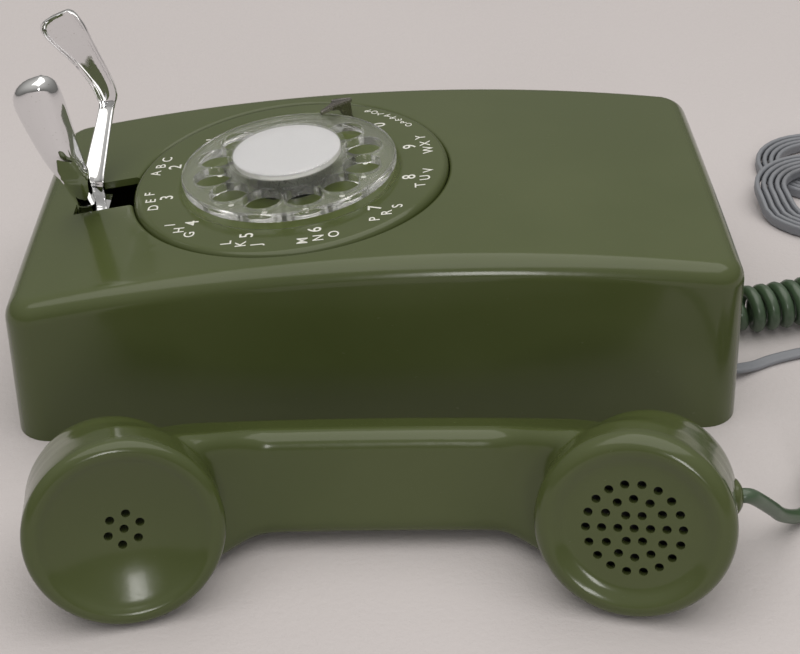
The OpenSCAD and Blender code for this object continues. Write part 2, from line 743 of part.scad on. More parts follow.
// Dial frame: round plate that carries the bush, the gear bridge and the number plate
module dial_frame() {
    color(zinc) on_dial() difference() {
        translate([0, 0, frame_bot]) cylinder(r = frame_r, h = frame_t);
        translate([0, 0, frame_bot - 1]) {
            cylinder(r = bush_r + screw_gap, h = frame_t + 2);
            translate(idler_pos) cylinder(d = idler_d + 2 * run_gap, h = frame_t + 2);
            translate(gov_pos) cylinder(d = gov_d + 2 * run_gap, h = frame_t + 2);
            for (a = boss_angles) rotate(a) translate([plate_boss_ring, 0])
                cylinder(d = screw_d + 2 * screw_gap, h = frame_t + 2);
            for (s = [-1, 1]) translate([s * (leg_lx - leg_tab / 2), 0])
                cylinder(d = screw_d + 2 * screw_gap, h = frame_t + 2);
        }
    }
}
module dial_screws() {
    color(steel) on_dial() for (a = boss_angles) rotate(a)
        translate([plate_boss_ring, 0, frame_bot]) screw(screw_d, frame_t + 2.5, screw_head_r, screw_head_h);
}
module dial_bushing() {
    color(brass) on_dial() difference() {
        union() {
            translate([0, 0, frame_top]) cylinder(r = bush_r + 2, h = bush_flange_t);
            translate([0, 0, frame_bot - bush_tail]) cylinder(r = bush_r, h = frame_t + bush_tail);
        }
        translate([0, 0, frame_bot - bush_tail - 1])
            cylinder(d = shaft_d + 2 * run_gap, h = frame_t + bush_tail + bush_flange_t + 2);
    }
}

// Number plate: moulded disc with a rounded rim, seated on three bosses
module number_plate() {
    r = plate_d / 2;
    color(moss) on_dial() difference() {
        union() {
            rotate_extrude() polygon(concat(
                [[plate_hole_r, plate_rise - plate_sheet], [plate_hole_r, plate_rise]],
                [for (a = [90 : -15 : 0])
                    [r - plate_rim + plate_rim * cos(a), plate_rise - plate_rim + plate_rim * sin(a)]],
                [[r, -plate_skirt], [r - plate_sheet, -plate_skirt]],
                [for (a = [0 : 15 : 90]) let (q = plate_rim - plate_sheet)
                    [r - plate_rim + q * cos(a), plate_rise - plate_rim + q * sin(a)]]
            ));
            for (a = boss_angles) rotate(a) translate([plate_boss_ring, 0, frame_top])
                cylinder(r = plate_boss_r, h = plate_rise - plate_sheet / 2 - frame_top);
        }
        for (a = boss_angles) rotate(a) translate([plate_boss_ring, 0, frame_top - 1])
            cylinder(d = screw_d + 2 * screw_gap, h = 4);
        rotate(stop_angle) translate([
            wheel_d / 2 + stop_out - stop_slot_gap, -stop_w / 2 - stop_slot_gap, plate_rise - plate_sheet - 1
        ]) cube([stop_t + 2 * stop_slot_gap, stop_w + 2 * stop_slot_gap, plate_sheet + 2]);
    }
}
// Finger stop: bent strip from the frame through the plate and over the wheel edge
module finger_stop() {
    out = wheel_d / 2 + stop_out;
    over = wheel_top + stop_over;
    color(steel) on_dial() rotate(stop_angle) translate([0, stop_w / 2, 0]) rotate([90, 0, 0])
        linear_extrude(stop_w) polygon([
            [out - stop_foot, frame_top], [out + stop_t, frame_top], [out + stop_t, over + stop_t * 0.4],
            [out + stop_t * 0.4, over + stop_t], [out - stop_reach, over + stop_t],
            [out - stop_reach - 1.2, over + stop_t * 0.4], [out - stop_reach, over],
            [out, over], [out, frame_top + stop_t], [out - stop_foot, frame_top + stop_t]
        ]);
}

// Mainspring: flat spiral strip under the frame
coil_turns = 3.5;
coil_in = bush_r + 3;
coil_pitch = 3;
strip_t = 0.8;
function spiral(a, off) = (coil_in + coil_pitch * a / 360 + off) * [cos(a), sin(a)];
module mainspring() {
    last = 360 * coil_turns;
    color(steel) on_dial() translate([0, 0, frame_bot - spring_gap - spring_h]) linear_extrude(spring_h)
        polygon(concat(
            [for (a = [0 : 15 : last]) spiral(a, 0)], [for (a = [last : -15 : 0]) spiral(a, strip_t)]
        ));
}
// Gear bridge: lower plate on three pillars, with the lower bearings
module gear_bridge() {
    color(brass) on_dial() difference() {
        union() {
            translate([0, 0, bridge_bot]) linear_extrude(bridge_t) {
                circle(9);
                translate(idler_pos) circle(7);
                translate(gov_pos) circle(gov_cup_r + 1);
                for (p = pillars) translate(p) circle(5);
                for (p = pillars) bar([0, 0], p, 8);
                bar([0, 0], idler_pos, 10);
                bar(idler_pos, gov_pos, 11);
            }
            for (p = pillars) translate([p[0], p[1], bridge_bot]) cylinder(r = pillar_r, h = frame_bot - bridge_bot);
        }
        translate([0, 0, bridge_bot - 1]) {
            cylinder(d = shaft_d + 2 * run_gap, h = bridge_t + 2);
            translate(idler_pos) cylinder(d = idler_d + 2 * run_gap, h = bridge_t + 2);
            translate(gov_pos) cylinder(d = gov_d + 2 * run_gap, h = bridge_t + 2);
        }
    }
}
module governor_cup() {
    color(steel) on_dial() translate([gov_pos[0], gov_pos[1], bridge_top])
        linear_extrude(gov_cup_top - bridge_top) ring(gov_cup_r, gov_cup_r - gov_cup_wall);
}
module pulse_springs() {
    block = [8, 8, frame_bot - cam_z + 1];
    at = idler_pos + [cam_r + 10, -block[1] - 4];
    color(black) on_dial() translate([at[0], at[1], cam_z - 1]) cube(block);
    color(brass) on_dial() for (k = [0 : 2])
        translate([idler_pos[0] - 2, idler_pos[1] - cam_r - cam_lift - 1.2 - 1.6 * k, cam_z])
            cube([cam_r + 13, blade_t, cam_t]);
}

// Turning pieces of the dial
module main_shaft() {
    color(steel) on_dial() {
        translate([0, 0, bridge_bot]) cylinder(d = shaft_d, h = wheel_top + nut_h - bridge_bot);
        translate([0, 0, -hub_drop]) cylinder(r = hub_r, h = hub_drop + wheel_rise);
    }
}
module main_gear() {
    color(brass) on_dial() translate([0, 0, main_gear_z]) linear_extrude(main_gear_t) difference() {
        gear(main_teeth, main_mod, -90);
        circle(d = shaft_d);
        for (k = [0 : 4]) rotate(72 * k) translate([main_mod * main_teeth * 0.29, 0]) circle(main_mod * 5);
    }
}
first_hole = 133.5;
module finger_wheel() {
    edge = 1;
    color(clear) on_dial() translate([0, 0, wheel_rise]) difference() {
        rotate_extrude() polygon([
            [0, 0], [wheel_d / 2 - edge, 0], [wheel_d / 2, edge], [wheel_d / 2, wheel_t - edge],
            [wheel_d / 2 - edge, wheel_t], [0, wheel_t]
        ]);
        translate([0, 0, -1]) cylinder(d = shaft_d + 2 * screw_gap, h = wheel_t + 2);
        for (k = [0 : 9]) rotate(first_hole + finger_step * k) translate([finger_r, 0, -1])
            cylinder(d = finger_d, h = wheel_t + 2);
    }
}
module wheel_nut() {
    color(steel) on_dial() translate([0, 0, wheel_top]) linear_extrude(nut_h) difference() {
        circle(r = nut_r, $fn = 6);
        circle(d = shaft_d + 2 * screw_gap);
    }
}
cup_z = wheel_top + nut_h;
module card_cup() {
    color(steel) on_dial() translate([0, 0, cup_z]) cylinder(d = card_d, h = card_cup_t);
}
module number_card() {
    color(ivory) on_dial() translate([0, 0, cup_z + card_cup_t]) cylinder(d = card_d, h = card_t);
}
module card_cover() {
    top = cup_z + card_cup_t + card_t + card_gap;
    color(clear) on_dial() difference() {
        rotate_extrude() polygon([
            [0, wheel_top], [cover_r, wheel_top], [cover_r, top], [cover_r - cover_t, top + cover_t], [0, top + cover_t]
        ]);
        translate([0, 0, wheel_top - 1]) cylinder(d = card_d + 2 * card_gap, h = top - wheel_top + 1);
    }
}
module idler_gear() {
    color(brass) on_dial() translate([idler_pos[0], idler_pos[1], 0]) {
        translate([0, 0, bridge_bot]) cylinder(d = idler_d, h = frame_top - bridge_bot);
        translate([0, 0, main_gear_z - gear_over]) linear_extrude(main_gear_t + 2 * gear_over)
            gear(pinion_teeth, main_mod, 90 + 180 / pinion_teeth);
        translate([0, 0, idler_gear_z]) linear_extrude(idler_gear_t) gear(idler_teeth, gov_mod, gov_angle);
        translate([0, 0, idler_gear_z]) cylinder(r = idler_d, h = main_gear_z - gear_over - idler_gear_z);
    }
}
module pulse_cam() {
    color(black) on_dial() translate([idler_pos[0], idler_pos[1], cam_z]) linear_extrude(cam_t) difference() {
        union() {
            circle(cam_r - cam_lift);
            intersection() {
                circle(cam_r);
                square([2 * cam_r, cam_r], center = true);
            }
        }
        circle(d = idler_d);
    }
}
module governor_shaft() {
    color(steel) on_dial() translate([gov_pos[0], gov_pos[1], 0]) {
        translate([0, 0, bridge_bot]) cylinder(d = gov_d, h = frame_top - bridge_bot);
        translate([0, 0, idler_gear_z - gear_over]) linear_extrude(idler_gear_t + 2 * gear_over)
            gear(gov_teeth, gov_mod, gov_angle + 180 + 180 / gov_teeth);
    }
}
module governor_weights() {
    r = gov_cup_r - gov_cup_wall - gov_pad_gap;
    color(brass) on_dial() translate([gov_pos[0], gov_pos[1], bridge_top + 0.5])
        linear_extrude(gov_cup_top - bridge_top - 1) difference() {
            intersection() {
                circle(r);
                square([2 * r, r * 1.1], center = true);
            }
            circle(d = gov_d);
        }
}

// Hook: bracket, pin, lever and two chromed prongs
cheek_y = lever_w / 2 + cheek_gap;
module hook_bracket() {
    color(steel) difference() {
        union() {
            for (s = [-1, 1]) translate([hook_x - cheek_len / 2, s > 0 ? cheek_y : -cheek_y - cheek_t, plate_t])
                cube([cheek_len, cheek_t, cheek_h - plate_t]);
            translate([hook_x - cheek_len / 2, -cheek_y - cheek_t, plate_t])
                cube([cheek_len, 2 * (cheek_y + cheek_t), cheek_t]);
        }
        translate([hook_x, 0, hook_z]) rotate([90, 0, 0])
            cylinder(d = hook_pin_d + 2 * screw_gap, h = 4 * cheek_y, center = true);
    }
}
pin_y0 = -cheek_y - cheek_t - pin_spare;
module hook_pin() {
    color(steel) translate([hook_x, pin_y0, hook_z]) rotate([-90, 0, 0]) {
        cylinder(d = hook_pin_d, h = cheek_y + cheek_t + 1 - pin_y0);
        translate([0, 0, -1]) cylinder(d = hook_pin_d + 3, h = 1);
    }
}
coil_spring_r = hook_pin_d / 2 + spring_wire / 2 + 0.4;
coil_spring_pts = [
    for (i = [0 : 8 * spring_turns])
    [
        hook_x + coil_spring_r * cos(45 * i), pin_y0 + 1 + i * (pin_spare - 2) / (8 * spring_turns),
        hook_z + coil_spring_r * sin(45 * i)
    ]
];
module hook_spring() {
    color(steel) sweep(tube_rings(coil_spring_pts, round_outline(spring_wire / 2, 6), [1, 0, 0]));
}
module switch_springs() {
    block = [12, 10, 12];
    at = [hook_x + lever_arm - 6, cheek_y + cheek_t + 4, plate_t];
    color(black) translate(at) cube(block);
    color(brass) for (z = [5, 8])
        translate([at[0] + 4, -lever_arm_w / 2, z]) cube([5, at[1] + lever_arm_w / 2 + 2, blade_t]);
}
module hook_lever() {
    color(steel) difference() {
        union() {
            translate([hook_x, 0, hook_z]) rotate([90, 0, 0]) cylinder(r = hook_hub_r, h = lever_w, center = true);
            translate([hook_x - lever_t / 2 + 2, -lever_w / 2, hook_z])
                cube([lever_t, lever_w, lever_top - hook_z]);
            translate([hook_x, -lever_arm_w / 2, hook_z - hook_hub_r + 2]) cube([lever_arm, lever_arm_w, lever_arm_t]);
        }
        translate([hook_x, 0, hook_z]) rotate([90, 0, 0])
            cylinder(d = hook_pin_d + 2 * run_gap, h = lever_w + 2, center = true);
    }
}
// Side view of a prong strip, and its face outline, crossed to cut the bent paddle
stem_x = hook_x + 2;
function strip_side(p, t) = concat(
    [for (i = [0 : len(p) - 1]) p[i] + t / 2 * edge_normal(p, i)],
    [for (i = [len(p) - 1 : -1 : 0]) p[i] - t / 2 * edge_normal(p, i)]
);
function edge_normal(p, i) =
    let (d = unit(p[min(i + 1, len(p) - 1)] - p[max(i - 1, 0)])) [d[1], -d[0]];
knee_r = 9;
foot_z = lever_top + 5;
paddle_mid = knee_z + 12;
module prong(s) {
    path = curve([
        [fork_y, lever_top], [fork_y, foot_z], [fork_y + 2.2, foot_z + 3.4], [knee_y - 4, knee_z - 5.5],
        [knee_y, knee_z + 1.5], [tip_y + 0.6, tip_z - 4], [tip_y, tip_z + tip_r + 2]
    ], 4);
    intersection() {
        translate([stem_x - 40, 0, 0]) rotate([90, 0, 90]) linear_extrude(80)
            polygon(strip_side([for (q = path) [s * q[0], q[1]]], prong_t));
        translate([0, 60, 0]) rotate([90, 0, 0]) linear_extrude(120) {
            polygon([
                [stem_x - lever_t / 2, lever_top - 1], [stem_x + lever_t / 2, lever_top - 1],
                [stem_x + lever_t / 2 + 0.6, knee_z + 2], [stem_x - tip_lean * 0.5 + tip_r * 0.98, paddle_mid],
                [stem_x - tip_lean + tip_r * 0.96, tip_z + tip_r * 0.28],
                [stem_x - tip_lean - tip_r * 0.96, tip_z - tip_r * 0.28],
                [stem_x - tip_lean * 0.5 - tip_r * 0.52, paddle_mid], [stem_x - lever_t / 2, knee_z]
            ]);
            translate([stem_x - tip_lean, tip_z]) circle(tip_r);
        }
    }
}
module prong_near() {
    color(chrome) prong(-1);
}
module prong_far() {
    color(chrome) prong(1);
}

// Ringer
module ringer_frame() {
    color(steel) difference() {
        union() {
            translate([ring_x0, -ring_plate[1] / 2, plate_t]) cube(ring_plate);
            for (s = [-1, 1]) translate([gong_x, s * gong_y, plate_t]) cylinder(r = post_r, h = gong_top - gong_wall - plate_t);
            translate([clap_x, 0, plate_t]) {
                cylinder(r = clap_post_r, h = clap_z + clap_h + 1 - plate_t);
                cylinder(r = clap_hub_r, h = clap_z - 0.3 - plate_t);
            }
        }
        for (s = [-1, 1]) translate([gong_x, s * gong_y, gong_top - 10]) cylinder(d = screw_d + 2 * screw_gap, h = 12);
    }
}
module gong(s) {
    r = gong_d / 2;
    color(brass) translate([gong_x, s * gong_y, gong_z]) difference() {
        rotate_extrude() polygon(concat(
            [[r - gong_wall, 0], [r, 0]],
            [for (a = [0 : 15 : 90]) [r - 9 + 9 * cos(a), gong_h - 9 + 9 * sin(a)]],
            [[0, gong_h], [0, gong_h - gong_wall]],
            [for (a = [90 : -15 : 0]) let (q = 9 - gong_wall) [r - 9 + q * cos(a), gong_h - 9 + q * sin(a)]]
        ));
        cylinder(d = screw_d + 2 * screw_gap, h = gong_h + 1);
    }
}
module gong_low() {
    gong(-1);
}
module gong_high() {
    gong(1);
}
module gong_screws() {
    color(steel) for (s = [-1, 1]) translate([gong_x, s * gong_y, gong_top]) rotate([180, 0, 0])
        screw(screw_d, 7, screw_head_r + 1, screw_head_h);
}
module ringer_coil() {
    color(copper) translate([gong_x, 0, coil_z]) rotate([90, 0, 0]) rotate_extrude() polygon([
        [core_r + coil_bore_gap, -coil_len / 2], [coil_r, -coil_len / 2], [coil_r, -coil_len / 2 + 2],
        [coil_r - 2, -coil_len / 2 + 2], [coil_r - 2, coil_len / 2 - 2], [coil_r, coil_len / 2 - 2],
        [coil_r, coil_len / 2], [core_r + coil_bore_gap, coil_len / 2]
    ]);
}
module ringer_core() {
    color(steel) {
        translate([gong_x, 0, coil_z]) rotate([90, 0, 0]) cylinder(r = core_r, h = coil_len + 2 * pole_t, center = true);
        for (s = [-1, 1]) translate([gong_x - core_r, s * (coil_len / 2 + pole_t / 2) - pole_t / 2, ring_z])
            cube([2 * core_r, pole_t, coil_z + core_r - ring_z]);
    }
}
module ringer_magnet() {
    color(black) translate([gong_x + coil_r + 3, -magnet_size[1] / 2, ring_z]) cube(magnet_size);
}
// Clapper: hub on its post, armature, rod and ball between the gongs
module clapper() {
    reach = gong_x - clap_x;
    color(brass) difference() {
        union() {
            translate([clap_x, 0, clap_z]) cylinder(r = clap_hub_r, h = clap_h);
            translate([clap_x, 0, clap_z + clap_h / 2]) rotate([0, 90, 0]) cylinder(d = 2, h = reach);
            translate([gong_x, 0, clap_z + clap_h / 2]) sphere(d = ball_d);
            translate([clap_x - 4, -14, clap_z]) cube([3, 28, clap_h / 2]);
        }
        translate([clap_x, 0, clap_z - 1]) cylinder(r = clap_post_r + run_gap, h = clap_h + 2);
    }
}
module loudness_wheel() {
    r = loud_d / 2;
    color(black) translate([loud_x, loud_y, plate_t + loud_seat]) linear_extrude(loud_t) difference() {
        circle(r);
        circle(loud_stud_r + run_gap);
        for (k = [0 : loud_teeth - 1]) rotate(360 * k / loud_teeth) translate([r + 0.3, 0]) circle(0.9);
    }
}

// Handset
// Cup behind a cap: rings from the joint, leaning out towards the end of the handset
cup_sides = 40;
function cup_ring(r, z, lean) = [for (k = [0 : cup_sides - 1]) let (a = -360 * k / cup_sides)
    [lean + r * cos(a), r * sin(a), z]];
function cup_rings(way) = concat(
    [for (a = [84 : -12 : 0]) cup_ring(cup_r * cos(a),
        -join_z - cup_taper - (cup_depth - join_z - cup_taper) * sin(a), way * (cup_lean + cup_back * sin(a)))],
    [cup_ring(0.5 * (cup_r + join_r) + 0.3, -join_z - cup_taper / 2, way * cup_lean * 0.6),
        cup_ring(join_r, -join_z, 0)]
);
cup_lean = 4.6;
cup_back = 3;
cup_r = 23.6;
cup_taper = 8;
seat_r = join_r - cap_wall - 2;
// Section of the grip: a rounded trapezoid, wider on the inner face
function grip_corner(cy, cz, r, a0) = [for (a = [0 : 30 : 90]) [cy + r * cos(a0 + a), cz + r * sin(a0 + a)]];
function grip_section(x) =
    let (s = smooth((abs(x) - 34) / 24), e = max(0, (abs(x) - 58) / 26),
        f = -grip_front + 0.8 * pow(min(abs(x), 58) / 40, 2) + 13 * s - 6 * e,
        b = -grip_back + 1.6 * pow(min(abs(x), 58) / 50, 2) + 2 * s + 9 * e * e,
        w = grip_w + 5.5 * s - 4 * e, v = grip_back_w - 0.3 * s - 2 * e, r = 5)
    [for (q = concat(grip_corner(w - r, f - r, r, 0), grip_corner(-w + r, f - r, r, 90),
        grip_corner(-v + r, b + r, r, 180), grip_corner(v - r, b + r, r, 270))) [x, -q[0], q[1]]];
grip_x = [-84, -76, -67, -58, -54, -50, -46, -42, -38, -33, -24, -12, 0,
    12, 24, 33, 38, 42, 46, 50, 54, 58, 67, 76, 84];
module handset_handle() {
    color(moss) on_handset() difference() {
        union() {
            on_ear() sweep(cup_rings(-1));
            on_mouth() sweep(cup_rings(1));
            sweep([for (x = grip_x) grip_section(x)]);
        }
        on_ear() cup_room();
        on_mouth() cup_room();
        bushing_shape(bushing_r + grommet_gap / 2);
    }
}
module cup_room() {
    translate([0, 0, -join_z - 10]) cylinder(r = seat_r, h = 11);
    translate([0, 0, -join_z - 20]) cylinder(r = seat_r - 7, h = 12);
}
module bushing_shape(r) {
    translate([bushing_x - bushing_len, 1, -bushing_depth]) rotate([0, 90, 0]) cylinder(r = r, h = bushing_len);
}
module handset_bushing() {
    color(dark_moss) on_handset() bushing_shape(bushing_r);
}
cap_lip = 4;
cap_face_r = cap_r - 7;
module receiver_cap() {
    color(moss) on_handset() on_ear() difference() {
        rotate_extrude() polygon(concat(
            [[0, -7.5], [9, -7.2], [24.2, -0.9]],
            [for (a = [110 : -22 : 0]) [cap_r - cap_lip + cap_lip * cos(a), -cap_lip + cap_lip * sin(a)]],
            [[cap_r - 0.4, -7], [join_r, -join_z], [join_r - cap_wall, -join_z]],
            [[cap_r - cap_wall - 0.4, -7], [cap_face_r, -4.6], [9, -10], [0, -10]]
        ));
        translate([0, 0, -12]) cylinder(d = sound_d, h = 10);
        for (k = [0 : 5]) rotate(60 * k + 5) translate([4.95, 0, -12]) cylinder(d = sound_d, h = 10);
    }
}
module transmitter_cap() {
    color(moss) on_handset() on_mouth() difference() {
        rotate_extrude() polygon(concat(
            [[0, -1.6], [19.2, -1.6], [21, -0.4], [22.8, 0]],
            [for (a = [80 : -20 : 0]) [cap_r - 6 + 6 * cos(a), -6.2 + 6.2 * sin(a)]],
            [[cap_r - 0.4, -8.5], [join_r, -join_z], [join_r - cap_wall, -join_z]],
            [[cap_r - cap_wall - 0.6, -8], [cap_face_r, -4.4], [0, -4.4]]
        ));
        translate([0, 0, -6]) cylinder(d = sound_d, h = 8);
        for (n = [1 : 3]) for (k = [0 : 6 * n - 1])
            rotate(60 * k / n + 3) translate([4.6 * n, 0, -6]) cylinder(d = sound_d, h = 8);
    }
}
unit_gap = 0.3;
unit_h = 13;
unit_sink = 10;
unit_neck = 8;
module receiver_unit() {
    color(steel) on_handset() on_ear() {
        translate([0, 0, -join_z - unit_sink]) cylinder(r = seat_r - unit_gap, h = unit_h);
        translate([0, 0, -join_z - unit_sink - unit_neck]) cylinder(r = seat_r - unit_neck, h = unit_neck);
    }
}
module transmitter_unit() {
    color(zinc) on_handset() on_mouth() translate([0, 0, -join_z - unit_sink + 4])
        cylinder(r = seat_r - unit_gap, h = unit_h);
}
module transmitter_cup() {
    color(black) on_handset() on_mouth() difference() {
        translate([0, 0, -join_z - 10]) cylinder(r = seat_r - unit_gap, h = 4);
        translate([0, 0, -join_z - 8]) cylinder(r = seat_r - 5, h = 4);
    }
}

// Cords
module cord_grommet() {
    x = wall_x(curl_exit_z);
    color(dark_moss) translate([x - wall - 2, curl_exit_y, curl_exit_z]) rotate([0, 90, 0]) {
        cylinder(r = grommet_r, h = wall + 2 + grommet_lip);
        cylinder(r = grommet_lip_r, h = 1.6);
    }
}
module handset_cord() {
    color(dark_moss) sweep(tube_rings(curl_points, round_outline(curl_cord_d / 2, 6), [0, 1, 0]));
}
module line_grommet() {
    x = wall_x(line_exit_z);
    color(grey) translate([x - wall - 2, line_exit_y, line_exit_z]) rotate([0, 90, 0])
        cylinder(r = line_w / 2 + wall / 2, h = wall + 2 + grommet_lip);
}
module line_cord() {
    color(grey) sweep(tube_rings(line_points, flat_outline(line_w, line_t), [0, 1, 0], 90, 29));
}
module line_hank() {
    color(grey) sweep([for (i = [0 : len(hank_points) - 1]) ring_at(hank_points, i, edge_outline, [0, 0, 1])]);
}
// Tie: flat band drawn round the near runs of the hank
tie_w = 8;
tie_t = 1;
tie_gap = 0.3;
module hank_tie() {
    w = hank_step * hank_loops + line_t + 2 * tie_gap;
    y0 = hank_near[1] - hank_r - line_t / 2 - tie_gap;
    z0 = hank_z - line_w / 2 - 0.1;
    h = line_w + 2 * tie_gap;
    color(black) translate([hank_near[0] - tie_w / 2, 0, 0]) difference() {
        translate([0, y0 - tie_t, 0.05]) cube([tie_w, w + 2 * tie_t, z0 + h + tie_t]);
        translate([-1, y0, z0]) cube([tie_w + 2, w, h]);
    }
}
// Plug: small clear connector on the end of the hank
plug_size = [20, 6.5, 9.6];
module line_plug() {
    e = hank_points[len(hank_points) - 1];
    color(clear) translate([e[0] - plug_size[0] - tie_gap, e[1] - line_t / 2, 0.05]) cube(plug_size);
}

base_plate();
housing();
housing_screw();
network_block();
terminal_screws();
dial_bracket();
bracket_screws();
dial_frame();
dial_screws();
dial_bushing();
number_plate();
finger_stop();
mainspring();
gear_bridge();
governor_cup();
pulse_springs();
main_shaft();
main_gear();
finger_wheel();
wheel_nut();
card_cup();
number_card();
card_cover();
idler_gear();
pulse_cam();
governor_shaft();
governor_weights();
hook_bracket();
hook_pin();
hook_spring();
switch_springs();
hook_lever();
prong_near();
prong_far();
ringer_frame();
ringer_coil();
ringer_core();
ringer_magnet();
gong_low();
gong_high();
gong_screws();
clapper();
loudness_wheel();
handset_handle();
receiver_cap();
receiver_unit();
transmitter_cap();
transmitter_unit();
transmitter_cup();
handset_bushing();
cord_grommet();
handset_cord();
line_grommet();
line_cord();
line_hank();
hank_tie();
line_plug();
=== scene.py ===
import math

import bpy
from mathutils import Matrix, Vector


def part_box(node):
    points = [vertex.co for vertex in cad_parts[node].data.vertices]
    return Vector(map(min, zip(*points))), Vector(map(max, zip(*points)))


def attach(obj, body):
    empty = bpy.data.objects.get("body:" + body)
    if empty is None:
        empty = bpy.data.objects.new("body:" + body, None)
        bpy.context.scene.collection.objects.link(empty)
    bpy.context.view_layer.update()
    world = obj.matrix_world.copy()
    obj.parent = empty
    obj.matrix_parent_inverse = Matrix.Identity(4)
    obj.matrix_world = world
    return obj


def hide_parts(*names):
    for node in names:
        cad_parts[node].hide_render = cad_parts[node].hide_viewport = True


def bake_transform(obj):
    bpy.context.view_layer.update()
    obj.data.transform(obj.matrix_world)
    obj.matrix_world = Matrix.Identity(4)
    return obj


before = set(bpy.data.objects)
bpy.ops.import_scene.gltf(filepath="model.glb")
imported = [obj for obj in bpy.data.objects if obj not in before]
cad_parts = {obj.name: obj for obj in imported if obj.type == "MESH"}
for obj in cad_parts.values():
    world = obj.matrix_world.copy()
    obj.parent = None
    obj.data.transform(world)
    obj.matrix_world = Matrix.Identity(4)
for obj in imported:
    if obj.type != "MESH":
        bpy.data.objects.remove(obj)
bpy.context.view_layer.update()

# Table, lamps and camera
# The telephone lies on its back on a plain pale table, under a wide soft lamp, with a small lamp in front.
# The eye is half a metre in front of it and looks down over the handset to the dial.
MM = 0.001
EYE, PITCH, YAW, ROLL = Vector((7.2, -491.5, 323.2)), 33.54, 0.16, -1.12
SENSOR_W, LENS = 36, 70.38


class Shade:
    """A socket of a material's nodes. Sums and products of sockets add their Math nodes."""

    def __init__(self, tree, socket=None):
        self.tree, self.socket = tree, socket

    def node(self, kind, inputs=(), out=0, **settings):
        """Adds a node: its settings first, then the values or links of its sockets."""
        made = self.tree.nodes.new(kind)
        for key, value in settings.items():
            setattr(made, key, value)
        for key, value in dict(inputs).items():
            if isinstance(value, Shade):
                self.tree.links.new(value.socket, made.inputs[key])
            else:
                made.inputs[key].default_value = value
        return Shade(self.tree, made.outputs[out])

    def reckon(self, operation, first, second):
        """A Math node on two sockets or numbers."""
        return self.node("ShaderNodeMath", {0: first, 1: second}, operation=operation)

    def __add__(self, other):
        return self.reckon("ADD", self, other)

    def __radd__(self, other):
        return self.reckon("ADD", other, self)

    def __rsub__(self, other):
        return self.reckon("SUBTRACT", other, self)

    def __rmul__(self, other):
        return self.reckon("MULTIPLY", other, self)

    def noise(self, scale, detail=3.0, rough=0.5, stretch=None):
        """Soft noise over the piece, drawn out along its axes where asked."""
        at = self.node("ShaderNodeTexCoord", out="Object")
        if stretch:
            at = self.node("ShaderNodeMapping", {"Vector": at, "Scale": stretch})
        return self.node("ShaderNodeTexNoise",
                         {"Vector": at, "Scale": scale, "Detail": detail, "Roughness": rough}, out="Fac")

    def step(self, low, high):
        """0 below low and 1 above high, with a smooth rise between."""
        return self.node("ShaderNodeMapRange", {0: self, 1: low, 2: high},
                         interpolation_type="SMOOTHSTEP")

    def mix(self, first, second):
        """A colour between two others, with this socket as the share of the second."""
        return self.node("ShaderNodeMix", {0: self, 6: first, 7: second}, out=2, data_type="RGBA")

    def bump(self, strength, depth):
        """A normal for a skin that rises with this socket."""
        return self.node("ShaderNodeBump", {"Height": self, "Strength": strength, "Distance": depth})


def rgb(red, green, blue):
    return (red, green, blue, 1.0)


def finish(name, **fixed):
    """A new material, its shader and a Shade to build on."""
    made = bpy.data.materials.new(name)
    made.use_nodes = True
    shader = made.node_tree.nodes["Principled BSDF"]
    for key, value in fixed.items():
        shader.inputs[key.replace("_", " ")].default_value = value
    return made, shader, Shade(made.node_tree)


def feed(shader, **links):
    """Links each named socket of a shader to a Shade."""
    for key, value in links.items():
        shader.id_data.links.new(value.socket, shader.inputs[key.replace("_", " ")])


bpy.ops.object.select_all(action="DESELECT")
bpy.ops.mesh.primitive_plane_add(size=8)
table = bpy.context.object
table.name = "table"
paint, shader, shade = finish("table_paint", Roughness=0.85, Specular_IOR_Level=0.2)
fibre = shade.noise(420, 4, 0.65)
feed(shader, Base_Color=shade.noise(6, 2).mix(rgb(0.545, 0.51, 0.515), rgb(0.585, 0.55, 0.555)),
     Normal=fibre.bump(0.4, 0.0008))
table.data.materials.append(paint)

pitch, yaw, roll = (math.radians(a) for a in (PITCH, YAW, ROLL))
ahead = Vector((math.sin(yaw) * math.cos(pitch), math.cos(yaw) * math.cos(pitch), -math.sin(pitch)))
level = Vector((math.cos(yaw), -math.sin(yaw), 0))
over = level.cross(ahead)
across = level * math.cos(roll) + over * math.sin(roll)
above = over * math.cos(roll) - level * math.sin(roll)
bpy.ops.object.camera_add()
camera = bpy.context.object
camera.matrix_world = (Matrix.Translation(EYE * MM)
                       @ Matrix((across, above, -ahead)).transposed().to_4x4())
camera.data.sensor_width = SENSOR_W
camera.data.lens = LENS
bpy.context.scene.camera = camera
bpy.context.scene.view_settings.view_transform = "Standard"


def lamp(name, at, aim, width, depth, watts, colour):
    """A flat lamp that faces a point, in metres and watts."""
    bpy.ops.object.light_add(type="AREA", location=at)
    made = bpy.context.object
    made.name = name
    made.data.shape = "RECTANGLE"
    made.data.size, made.data.size_y = width, depth
    made.data.energy, made.data.color = watts, colour
    made.rotation_euler = (Vector(aim) - Vector(at)).to_track_quat("-Z", "Y").to_euler()


